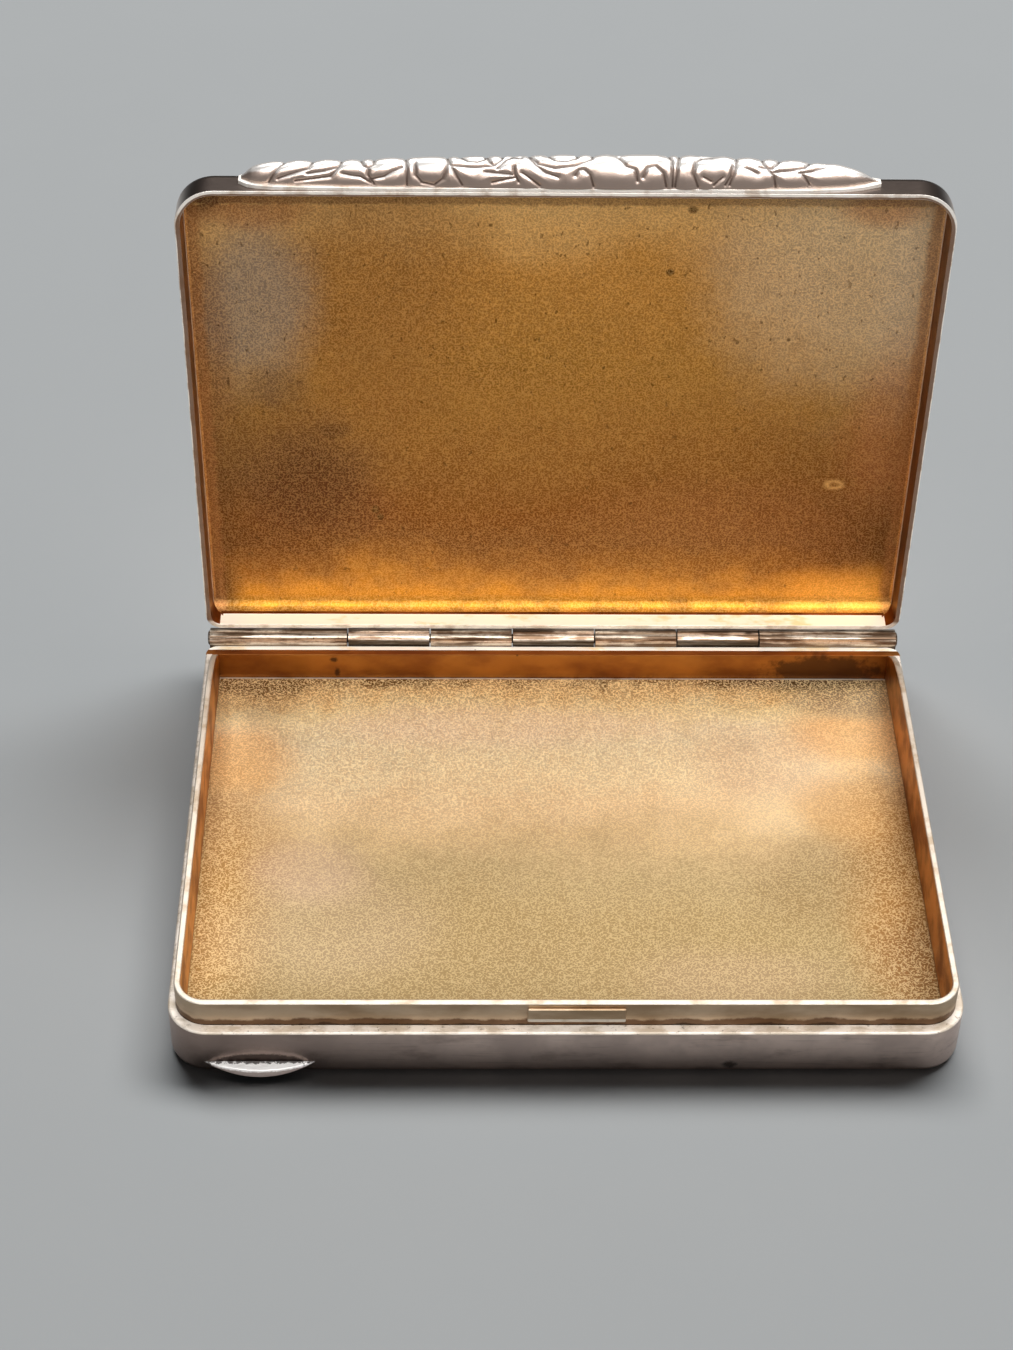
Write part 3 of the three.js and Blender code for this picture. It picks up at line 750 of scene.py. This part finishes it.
def makeTray():
    low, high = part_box("base_wall_band")
    top = high.z - ledgeShape["depth"]
    tray = startPan("baseTray", low.z, top)
    roundEdges(trayShape["foot"], 8, lambda p: near(p.z, low.z))
    pick("FACE", lambda p: near(p.z, top))
    bpy.ops.mesh.inset(thickness=trayShape["sideWall"])
    moveSelected(thickenFront)
    pull((0, 0, trayShape["bottom"] - top))
    cutOffBehind(high.y)
    easeEdges(tray, trayShape["wear"])
    paint(tray, silver)
    seat(tray, "base", "silver", "base_wall_band", "base_bottom_plate")
    print("tray modelled")


def makeLedge():
    # a flat frame: the pan's outline with a hole inset into it
    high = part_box("base_wall_band")[1]
    bottom = high.z - ledgeShape["depth"]
    frameTop = startPan("trayLedge", bottom, high.z)
    pick("FACE", lambda p: near(p.z, high.z) or near(p.z, bottom))
    bpy.ops.mesh.inset(thickness=trayShape["sideWall"])
    moveSelected(thickenFront)
    bpy.ops.mesh.bridge_edge_loops()
    cutOffBehind(high.y)
    roundEdges(ledgeShape["round"], 4, lambda p: near(p.z, high.z) and onOutline(p))
    easeEdges(frameTop, ledgeShape["wear"])
    paint(frameTop, ledge)
    seat(frameTop, "base", "silver", "base_wall_band")


def onOutline(point):
    # on the outer line of the case, also round the front corners
    low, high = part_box("base_wall_band")
    corner = trayShape["frontCorner"]
    across = max(abs(point.x) - high.x + corner, 0)
    ahead = max(low.y + corner - point.y, 0)
    return math.hypot(across, ahead) > corner - ledgeShape["outline"]


def makeRearWall():
    low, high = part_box("base_rear_wall")
    wall = startBlock("rearWall", low, high)
    roundCorners(rearShape["corner"], 8, alongY, high.y, high.x)
    roundEdges(rearShape["foot"], 6, lambda p: near(p.z, low.z) and not near(p.y, low.y))
    roundEdges(rearShape["topRound"], 5, lambda p: near(p.z, high.z) and near(p.y, low.y))
    bright = low.y + rearShape["brightTop"]
    cutAlong(alongY, [bright])
    easeEdges(wall, rearShape["wear"])
    paint(wall, silver,
          (giltRear, lambda middle, normal: middle.y < bright and (normal.y < -0.1 or normal.z > 0.9)),
          (sill, lambda middle, normal: middle.y > bright and normal.z > 0.9))
    seat(wall, "base", "gilt", "base_rear_wall")
    print("ledge and rear wall modelled")


makeTray()
makeLedge()
makeRearWall()


# base: the floor sheet let in above the bottom

floorShape = {"corner": 3.6 * mm, "rearEdge": 0.3 * mm, "wear": 0.05 * mm}


def makeFloor():
    low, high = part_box("base_inner_floor")
    sheet = startBlock("innerFloor", low, high)
    roundCorners(floorShape["corner"], 14, alongY, low.y, high.x)
    rear = high.y - floorShape["rearEdge"]
    cutAlong(alongY, [rear])
    easeEdges(sheet, floorShape["wear"])
    paint(sheet, giltFloor,
          (rim, lambda middle, normal: middle.y > rear and normal.z > 0.2))
    seat(sheet, "base", "frosted_gilt", "base_inner_floor")
    print("inner floor modelled")


makeFloor()


# base: the bezel that the lid closes over, swept down to the hinge at the rear

bezelShape = {
    "corner": 3.6 * mm,
    "thickness": 0.75 * mm,
    "sweepLength": 10.5 * mm,
    "sweepEnd": 6.9 * mm,
    "sweepSteps": 14,
    "rimRound": 0.18 * mm,
}


def makeBezel():
    low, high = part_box("base_bezel")
    bezel = startBlock("bezel", low, high)
    roundCorners(bezelShape["corner"], 14, alongY, low.y, high.x)
    for axis, place in ((alongZ, low.z), (alongZ, high.z), (alongY, high.y)):
        pick("FACE", lambda p: near(p[axis], place))
        bpy.ops.mesh.delete(type="FACE")
    bpy.ops.object.mode_set(mode="OBJECT")
    thickness = bezelShape["thickness"]
    applyModifier(bezel, "SOLIDIFY", thickness=thickness, offset=-1, use_even_offset=True)
    length, steps = bezelShape["sweepLength"], bezelShape["sweepSteps"]
    cutAlong(alongY, [high.y - length * step / steps for step in range(1, steps + 1)])

    def sweep(point):
        left = min(max((high.y - point.y) / length, 0), 1)
        along = 2 - math.sqrt(1 + 3 * left)
        point.z -= (high.z - bezelShape["sweepEnd"]) * along * along
        return point

    def isOutside(middle, normal):
        flat = middle.y < low.y + thickness / 2 or abs(middle.x) > high.x - thickness / 2
        return flat or (middle.y < 0 and middle.xy.dot(normal.xy) > 0)

    movePoints(lambda p: near(p.z, high.z), sweep)
    easeEdges(bezel, bezelShape["rimRound"], steps=4)
    paint(bezel, giltWall,
          (bezelFace, isOutside),
          (rim, lambda middle, normal: normal.z > 0.35))
    seat(bezel, "base", "gilt", "base_bezel")
    print("bezel modelled")


makeBezel()


# base: the snap bar on the bezel, and the crescent lip low on the front wall

barShape = {"round": 0.14 * mm, "bright": 0.55 * mm, "sink": 0.02 * mm}
lipShape = {"sides": 320, "proud": 1.35 * mm, "sink": 0.03 * mm, "round": 0.22 * mm, "taper": 0.85}


def makeSnapBar():
    low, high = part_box("snap_bar")
    bar = startBlock("snapBar", low, (high.x, high.y + barShape["sink"], high.z))
    worn = low.z + barShape["bright"]
    cutAlong(alongZ, [worn])
    easeEdges(bar, barShape["round"])
    paint(bar, bezelFace,
          (rim, lambda middle, normal: middle.z < worn))
    seat(bar, "base", "gilt", "snap_bar")


def makeLip():
    low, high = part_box("base_thumb_lug")
    middle = (low + high) / 2
    half = (high.x - low.x) / 2
    proud = lipShape["proud"]
    radius = (half * half + proud * proud) / (2 * proud)
    putDown()
    bpy.ops.mesh.primitive_cylinder_add(
        vertices=lipShape["sides"], radius=radius, depth=high.z - low.z,
        location=(middle.x, low.y + radius, middle.z))
    lip = settle("thumbLip")
    cutOffBehind(low.y + proud + lipShape["sink"])

    def taper(point):
        # the underside rises to pointed ends
        share = min(abs(point.x - middle.x) / half, 1)
        point.z = high.z - (high.z - point.z) * (1 - lipShape["taper"] * share * share)
        return point

    movePoints(lambda p: True, taper)
    easeEdges(lip, lipShape["round"], steps=4)
    paint(lip, lipFace)
    seat(lip, "base", "bright_silver", "base_thumb_lug")
    print("snap bar and lip modelled")


makeSnapBar()
makeLip()


# hinge: seven knuckles in a row, and the pin with its end plugs

knuckleShape = {
    "sides": 48,
    "leafHalf": 0.62,  # of the radius, as is the next
    "lidLeafFront": 0.25,
    "endRound": 0.06 * mm,
    "sharpest": 60,
}
plugShape = {"sides": 32, "round": 0.25 * mm}


def knuckleNode(body, number):
    return body + "_knuckle_" + str(number)


def makeKnuckle(body, number, leafAxis, leafSide, tube):
    # a tube with a leaf pulled out of its side to the wall that it is soldered to
    low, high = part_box(knuckleNode(body, number))
    pinLow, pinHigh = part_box("hinge_pin")
    centre = (pinLow + pinHigh) / 2
    centre.x = (low.x + high.x) / 2
    radius = high.y - centre.y
    piece = startRod(body + "Knuckle" + str(number), centre, radius, high.x - low.x, knuckleShape["sides"])
    onBase = leafAxis == alongY
    wall = low.y if onBase else high.z
    across = alongZ if onBase else alongY
    leafFront = knuckleShape["leafHalf" if onBase else "lidLeafFront"]

    def facesLeaf(point):
        share = (point[across] - centre[across]) / radius
        outward = (point[leafAxis] - centre[leafAxis]) * leafSide > 0
        return outward and -leafFront < share < knuckleShape["leafHalf"]

    def toWall(point):
        point[leafAxis] = wall
        return point

    pick("FACE", facesLeaf)
    pull((0, 0, 0))
    moveSelected(toWall)
    easeEdges(piece, knuckleShape["endRound"], sharpest=knuckleShape["sharpest"])
    paint(piece, tube)
    return piece


def copyKnuckle(piece, body, model, number):
    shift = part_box(knuckleNode(body, number))[0].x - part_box(knuckleNode(body, model))[0].x
    putDown()
    piece.select_set(True)
    bpy.context.view_layer.objects.active = piece
    bpy.ops.object.duplicate(linked=False)
    bpy.context.object.location = (shift, 0, 0)
    return settle(body + "Knuckle" + str(number))


def seatKnuckle(piece, body, number):
    seat(piece, body, "knuckle_silver", knuckleNode(body, number))


def makeHinge():
    # one knuckle of each length is modelled, and the others are its copies
    for model, far in ((1, 4), (2, 3)):
        piece = makeKnuckle("base", model, alongY, -1, baseTube)
        twin = copyKnuckle(piece, "base", model, far)
        seatKnuckle(piece, "base", model)
        seatKnuckle(twin, "base", far)
    piece = makeKnuckle("lid", 1, alongZ, 1, lidTube)
    seatKnuckle(piece, "lid", 1)
    for number in (2, 3):
        seatKnuckle(copyKnuckle(piece, "lid", 1, number), "lid", number)
    print("knuckles modelled")


def makePlugs():
    for side in ("left", "right"):
        node = "pin_plug_" + side
        low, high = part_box(node)
        name = "pinPlug" + side.capitalize()
        plug = startRod(name, (low + high) / 2, (high.y - low.y) / 2, high.x - low.x, plugShape["sides"])
        easeEdges(plug, plugShape["round"], steps=4)
        paint(plug, baseTube)
        seat(plug, "base", "knuckle_silver", node)
    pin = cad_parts["hinge_pin"]
    pin.data.materials.clear()
    pin.data.materials.append(steel.material)
    print("pin and plugs dressed")


makeHinge()
makePlugs()


# lid: the shallow shell, standing open

lidShape = {
    "frontCorner": 4.7 * mm,
    "rearCorner": 2.0 * mm,
    "shoulder": 1.6 * mm,
    "wall": 0.62 * mm,
    "plate": 0.7 * mm,
    "innerFillet": 0.5 * mm,
    "cove": 2.1 * mm,
    "coveSteps": 12,
    "wear": 0.12 * mm,
    "rimDepth": 0.13 * mm,
    "giltEdge": 1.2,  # how far in the gilding starts, in wall thicknesses
    "giltSkin": 0.1 * mm,  # how deep a face still lies inside
    "slack": 0.01 * mm,
}


def makeLid():
    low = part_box("lid_rear_wall")[0]
    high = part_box("lid_wall_band")[1]
    lid = startBlock("lidShell", low, high)
    roundCorners(lidShape["frontCorner"], 16, alongZ, high.z, high.x)
    roundCorners(lidShape["rearCorner"], 8, alongZ, low.z, high.x)
    roundEdges(lidShape["shoulder"], 8, lambda p: near(p.y, high.y))
    wall, fillet, slack = lidShape["wall"], lidShape["innerFillet"], lidShape["slack"]
    pick("FACE", lambda p: near(p.y, low.y))
    bpy.ops.mesh.inset(thickness=wall)
    inside = high.y - lidShape["plate"]
    pull((0, inside - low.y, 0))
    roundEdges(fillet, 4, lambda p: near(p.y, inside))

    # the inside corner along the hinge is a wide cove
    cove, steps = lidShape["cove"], lidShape["coveSteps"]
    sillTop = low.z + wall
    coveTop = sillTop + cove
    turns = [math.pi / 2 * step / steps for step in range(1, steps + 1)]
    cutAlong(alongZ, [sillTop + cove * (1 - math.cos(turn)) for turn in turns])

    def isCorner(point):
        inHeight = sillTop - slack < point.z < coveTop
        inDepth = inside - fillet - 2 * slack < point.y < inside + slack
        return inHeight and inDepth and abs(point.x) < high.x - wall + slack

    def toCove(point):
        drop = min(max(coveTop - point.z, 0), cove)
        point.y = min(point.y, inside - cove + math.sqrt(cove * cove - drop * drop))
        return point

    movePoints(isCorner, toCove)
    easeEdges(lid, lidShape["wear"])
    edge = wall * lidShape["giltEdge"]

    def isGilt(middle, normal):
        within = edge < middle.z - low.z and edge < high.z - middle.z and abs(middle.x) < high.x - edge
        onCove = sillTop < middle.z < coveTop and normal.y < -0.05
        return within and middle.y < inside + lidShape["giltSkin"] and (onCove or normal.y < -0.6)

    def isWallInside(middle, normal):
        inward = Vector((middle.x, middle.z - (low.z + high.z) / 2)).dot(normal.xz) < 0
        return inward and -0.4 < normal.y < 0.6 and middle.y < inside

    paint(lid, lidSilver,
          (giltLidWall, isWallInside),
          (giltLid, isGilt),
          (sill, lambda middle, normal: near(middle.z, sillTop) and normal.z > 0.7),
          (lidRim, lambda middle, normal: middle.y < low.y + lidShape["rimDepth"]))
    seat(lid, "lid", "silver", "lid_wall_band", "lid_rear_wall", "lid_plate")
    print("lid modelled")


makeLid()


# lid: the scrolled thumbpiece along its front edge, with lengths in mm, on a thin plinth

thumbShape = {
    "length": 72.8,
    "middle": -0.8,
    "halfWidth": 2.0,
    "proud": 2.9,
    "girth": 4.6,  # round the bow's middle, from foot to crown as seen
    "leastSwell": 0.25,
    "soften": 0.009,
    "reliefHeight": 0.36,
    "sideRelief": 0.8,
    "fullRelief": 1.6,
    "grooveWidth": 0.21,
    "lobeWidth": 0.9,
    "columns": 760,
    "rows": 72,
    "least": 0.02,
    "merge": 0.004,
    "smoothTo": 60,
}
# how the bow's round looks from the front and above, to set the carving out as it is seen
bowSeen = {"rise": 1.637, "depth": 1.135, "whole": 3.125, "backFrom": np.radians(-35), "backRate": 1.4}

plinthShape = {
    "margin": 0.5 * mm,
    "most": 2.02 * mm,
    "frontFoot": 0.5 * mm,
    "rearFoot": 0.33 * mm,
    "cuts": 72,
    "underside": 0.1 * mm,
    "wear": 0.06 * mm,
    "sharpest": 50,
}

# how far the bow swells along its length: share of its half length, share of its height
bowSwell = [(-1, 0), (-0.985, 0.3), (-0.956, 0.49), (-0.893, 0.66), (-0.69, 0.74), (-0.346, 0.9), (0, 1),
            (0.437, 1), (0.624, 0.88), (0.75, 0.79), (0.874, 0.63), (0.937, 0.41), (1, 0)]

# carved lines: mm along the case, and share of the way from the foot (0) to the crown as seen (1)
carving = [
    [(-32, 1.3), (-32.2, 0.95), (-33.1, 0.6), (-34, 0.05)],
    [(-28.7, 1.3), (-29, 0.95), (-29.5, 0.62), (-31, 0.45), (-33, 0.2)],
    [(-25.3, 1.3), (-25.7, 0.95), (-26, 0.68), (-27.6, 0.52), (-29.6, 0.42)],
    [(-26, 0.68), (-27, 0.3), (-31, 0.12)],
    [(-23.6, 1.3), (-23.5, 0.95), (-23.2, 0.7), (-22.7, 0.62), (-22.1, 0.75), (-22, 1), (-22.3, 1.3)],
    [(-22.7, 0.62), (-22.7, 0.35), (-22, 0.05)],
    [(-25.6, 0.42), (-24.6, 0.34), (-23.6, 0.3), (-22.4, 0.1)],
    [(-22.5, 0.2), (-20.9, 0.3), (-19.8, 0.5), (-18.9, 0.62)],
    [(-18.6, 1.3), (-18.4, 0.9), (-18.3, 0.4), (-18.3, 0)],
    [(-17.4, 0.75), (-17.3, 0.35), (-16.6, 0.12), (-15.2, 0.05), (-14.2, 0.24), (-13.6, 0.72),
     (-13.8, 1.3)],
    [(-13.7, 0.95), (-13.3, 0.66), (-10.6, 0.58), (-8.4, 0.64), (-7.5, 0.85), (-7.1, 1.3)],
    [(-12.4, 1.3), (-12.2, 0.98), (-11.4, 0.82), (-10.3, 0.78), (-9.4, 0.88), (-9.2, 1.3)],
    [(-9.2, 0.98), (-8.9, 0.75), (-8.4, 0.64)],
    [(-8, 0.55), (-7, 0.85), (-6.2, 0.95), (-5.4, 0.9)],
    [(-4.6, 1.3), (-4.4, 0.95), (-3.7, 0.66), (-2.6, 0.42), (-1.2, 0.3)],
    [(-4.3, 0.95), (-3.4, 0.68), (-1.5, 0.54), (0.8, 0.62), (2.7, 0.85), (3.2, 1.3)],
    [(-2.4, 1.3), (-2.2, 0.96), (-1.5, 0.8), (-0.2, 0.76), (1, 0.88), (1.3, 1.3)],
    [(-13.2, 0.6), (-12.6, 0.3), (-12, 0.05)],
    [(-9.4, 0.45), (-7.6, 0.4), (-6.3, 0.36)],
    [(-8.6, 0.14), (-7.2, 0.22), (-6, 0.28)],
    [(-6.2, 0.62), (-6.1, 0.4), (-5.6, 0.16)],
    [(-5.2, 0.42), (-4, 0.2), (-3.2, 0.06)],
    [(0.8, 0.34), (1.2, 0.5), (1.8, 0.52), (2.5, 0.36), (2.9, 0.06)],
    [(5.8, 0.9), (6.6, 0.62), (7.6, 0.52), (7.9, 0.2)],
    [(8.5, 0.3), (9, 0.58), (9.9, 0.64), (10.8, 0.42), (11.2, 0.05)],
    [(11, 1.2), (11.8, 0.8), (11.9, 0.4), (11.9, 0.05)],
    [(12.9, 1.3), (12.4, 0.6), (12.2, 0.05)],
    [(16.4, 0.94), (15.2, 0.9), (14.5, 0.75), (14.2, 0.4), (14.8, 0.05)],
    [(15.4, 0.32), (16.3, 0.2)],
    [(16.6, 0.1), (17.6, 0.32)],
    [(18.8, 0.7), (18.5, 0.35), (17.9, 0.1)],
    [(19, 1.3), (19.2, 0.85), (18.9, 0.5), (18.4, 0.1)],
    [(21.9, 1.2), (22.3, 0.75), (23.4, 0.4), (23.7, 0.02)],
    [(20.3, 0.62), (20.9, 0.55), (21.5, 0.45)],
    [(24.6, 1.2), (23.8, 0.8), (23.2, 0.62), (21.9, 0.66)],
    [(28.2, 1.2), (27, 0.72), (25.4, 0.58), (23.4, 0.5)],
    [(29.2, 0.8), (27.8, 0.58), (26.4, 0.5)],
    [(26.7, 0.46), (27.1, 0.3), (27.6, 0.08)],
]


def carve(x, seen, girth):
    # each point's distance from the nearest carved line, in mm on the bow's surface
    nearest = np.full(len(x), np.inf)
    for line in carving:
        for (x0, s0), (x1, s1) in zip(line, line[1:]):
            stepX, stepS = x1 - x0, (s1 - s0) * girth
            offX, offS = x - x0, (seen - s0) * girth
            share = np.clip((offX * stepX + offS * stepS) / (stepX ** 2 + stepS ** 2), 0, 1)
            nearest = np.minimum(nearest, np.hypot(offX - share * stepX, offS - share * stepS))
    return nearest


def closeBow():
    # merges the points at both tips, closes the flat underside and turns all faces outwards
    takeUp()
    bpy.ops.mesh.remove_doubles(threshold=thumbShape["merge"] * mm)
    bpy.ops.mesh.select_all(action="DESELECT")
    bpy.ops.mesh.select_mode(type="EDGE")
    bpy.ops.mesh.select_non_manifold(extend=False)
    bpy.ops.mesh.edge_face_add()
    takeUp()
    bpy.ops.mesh.normals_make_consistent(inside=False)
    bpy.ops.object.mode_set(mode="OBJECT")
    bpy.ops.object.shade_smooth_by_angle(angle=math.radians(thumbShape["smoothTo"]))


def makeThumbpiece():
    low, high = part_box("thumbpiece")
    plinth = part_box("thumbpiece_plinth")[1]
    putDown()
    bpy.ops.mesh.primitive_grid_add(
        x_subdivisions=thumbShape["columns"], y_subdivisions=thumbShape["rows"], size=2)
    piece = settle("thumbpiece")
    flat = np.empty(len(piece.data.vertices) * 3)
    piece.data.vertices.foreach_get("co", flat)
    along, about = flat[0::3], flat[1::3]
    x = thumbShape["middle"] + along * thumbShape["length"] / 2
    turn = np.radians(90) * about  # from the back foot over the crown to the front foot
    shifts = [thumbShape["soften"] * step for step in range(-2, 3)]
    swell = sum(np.interp(along + shift, *zip(*bowSwell)) for shift in shifts) / len(shifts)
    rise, depth = np.cos(turn) * bowSeen["rise"], np.sin(turn) * bowSeen["depth"]
    seen = (rise - depth + bowSeen["depth"]) / bowSeen["whole"]
    behind = bowSeen["backFrom"] - turn
    seen = np.where(behind > 0, 1 + behind / bowSeen["backRate"], seen)
    nearest = carve(x, seen, thumbShape["girth"] * np.maximum(swell, thumbShape["leastSwell"]))
    groove = np.exp(-(nearest / thumbShape["grooveWidth"]) ** 2)
    crown = 1 - np.exp(-(nearest / thumbShape["lobeWidth"]) ** 2)
    full = np.clip(swell * thumbShape["fullRelief"], 0, 1)
    relief = (crown * 0.5 - groove * 0.5) * thumbShape["reliefHeight"] * full
    across = thumbShape["halfWidth"] * swell + relief * thumbShape["sideRelief"]
    across = np.maximum(across, thumbShape["least"])
    upward = np.maximum(thumbShape["proud"] * swell + relief, thumbShape["least"])
    flat[0::3] = x * mm
    flat[1::3] = (low.y + high.y) / 2 - across * np.sin(turn) * mm
    flat[2::3] = plinth.z + upward * np.cos(turn) * mm
    piece.data.vertices.foreach_set("co", flat)
    recess = piece.data.attributes.new("recess", "FLOAT", "POINT")
    recess.data.foreach_set("value", groove * full)
    closeBow()
    paint(piece, cast)
    seat(piece, "lid", "bright_silver", "thumbpiece")
    print("thumbpiece carved")


def makePlinth():
    # a flat strip that follows the bow's outline a little way out
    low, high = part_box("thumbpiece_plinth")
    bowLow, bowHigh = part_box("thumbpiece")
    middleY = (bowLow.y + bowHigh.y) / 2
    halfLength = (high.x - low.x) / 2
    piece = startBlock("thumbPlinth", (low.x, middleY - mm, low.z), (high.x, middleY + mm, high.z))
    cuts = plinthShape["cuts"]
    cutAlong(alongX, [low.x + (high.x - low.x) * step / cuts for step in range(1, cuts)])

    def follow(point):
        along = (point.x - low.x - halfLength) / halfLength
        swell = np.interp(along, *zip(*bowSwell))
        width = thumbShape["halfWidth"] * swell * mm + plinthShape["margin"]
        side = point.y - middleY
        # the underside stays within the lid's sheet
        if point.z < high.z - plinthShape["underside"]:
            point.z = low.z + plinthShape["frontFoot" if side < 0 else "rearFoot"]
        point.y = middleY + math.copysign(min(width, plinthShape["most"]), side)
        return point

    movePoints(lambda p: True, follow)
    easeEdges(piece, plinthShape["wear"], steps=2, sharpest=plinthShape["sharpest"])
    paint(piece, lidRim)
    seat(piece, "lid", "bright_silver", "thumbpiece_plinth")
    print("plinth modelled")


makeThumbpiece()
makePlinth()


# table, light and camera

studio = {
    "table": {"size": 4, "drop": 0.02 * mm, "pale": (178, 181, 182), "dark": (150, 154, 156)},
    "back": {"name": "softboxBack", "power": 72.0, "size": (2.6, 0.8), "place": (0.3, 1.1, 2.25)},
    "front": {"name": "softboxFront", "power": 21.0, "size": (1.2, 0.5), "place": (0.2, -0.7, 0.85)},
    "card": {"name": "greyCard", "power": 11.0, "size": (3.6, 2.6), "place": (0, -1.7, 1.5)},
    "fill": {"Color": (0.9, 0.95, 1.0, 1), "Strength": 0.02},
}
lens = {
    "look": Vector((-6.1968, 26.0573, 8.0)) * mm,
    "distance": 342.2112 * mm,
    "pitch": math.radians(41.8649),
    "yaw": math.radians(1.3143),
    "roll": math.radians(1.0078),
    "focalPixels": 2676.656,
    "framePixels": 1350,
    "sensor": 36,
    "nearest": 0.01,
}


def makeTable():
    look = studio["table"]
    putDown()
    bpy.ops.mesh.primitive_plane_add(size=look["size"], location=(0, 0, -look["drop"]))
    table = settle("table")
    made = Finish("tableTop")
    made.colour = made.blend(made.noise(30, 4, 0.6) * 0.12, look["pale"], look["dark"])
    made.finish(rough=0.85)
    table.data.materials.append(made.material)
    return table


def makeSoftbox(lamp):
    putDown()
    bpy.ops.object.light_add(type="AREA", location=lamp["place"])
    made = bpy.context.object
    made.name = lamp["name"]
    made.rotation_euler = Vector(lamp["place"]).to_track_quat("Z", "Y").to_euler()
    made.data.shape = "RECTANGLE"
    made.data.size, made.data.size_y = lamp["size"]
    made.data.energy = lamp["power"]
    return made


def flagOff(name, *pieces):
    # a flag that keeps a lamp's light off these pieces
    flag = bpy.data.collections.new(name)
    for piece in pieces:
        flag.objects.link(piece)
    for entry in flag.collection_objects:
        entry.light_linking.link_state = "EXCLUDE"
    return flag


def makeLights(table):
    makeSoftbox(studio["back"])
    # the lights in front are kept off the table, so that the case's shadow stays deep
    makeSoftbox(studio["card"]).light_linking.receiver_collection = flagOff("cardFlag", table)
    tray = bpy.data.objects["baseTray"]
    makeSoftbox(studio["front"]).light_linking.receiver_collection = flagOff("frontFlag", table, tray)
    world = bpy.data.worlds.new("studio")
    bpy.context.scene.world = world
    world.use_nodes = True
    for name, value in studio["fill"].items():
        world.node_tree.nodes["Background"].inputs[name].default_value = value


def makeCamera():
    putDown()
    pitch, yaw, roll = lens["pitch"], lens["yaw"], lens["roll"]
    forward = Vector((math.sin(yaw) * math.cos(pitch), math.cos(yaw) * math.cos(pitch), -math.sin(pitch)))
    right = Vector((math.cos(yaw), -math.sin(yaw), 0))
    up = right.cross(forward)
    side = math.cos(roll) * right + math.sin(roll) * up
    top = math.cos(roll) * up - math.sin(roll) * right
    bpy.ops.object.camera_add()
    camera = bpy.context.object
    turn = Matrix((side, top, -forward)).transposed().to_4x4()
    camera.matrix_world = Matrix.Translation(lens["look"] - lens["distance"] * forward) @ turn
    camera.data.lens = lens["focalPixels"] / lens["framePixels"] * lens["sensor"]
    camera.data.sensor_width = lens["sensor"]
    camera.data.clip_start = lens["nearest"]
    bpy.context.scene.camera = camera
    bpy.context.scene.view_settings.view_transform = "Standard"


makeLights(makeTable())
makeCamera()
print("studio set")

putDown()
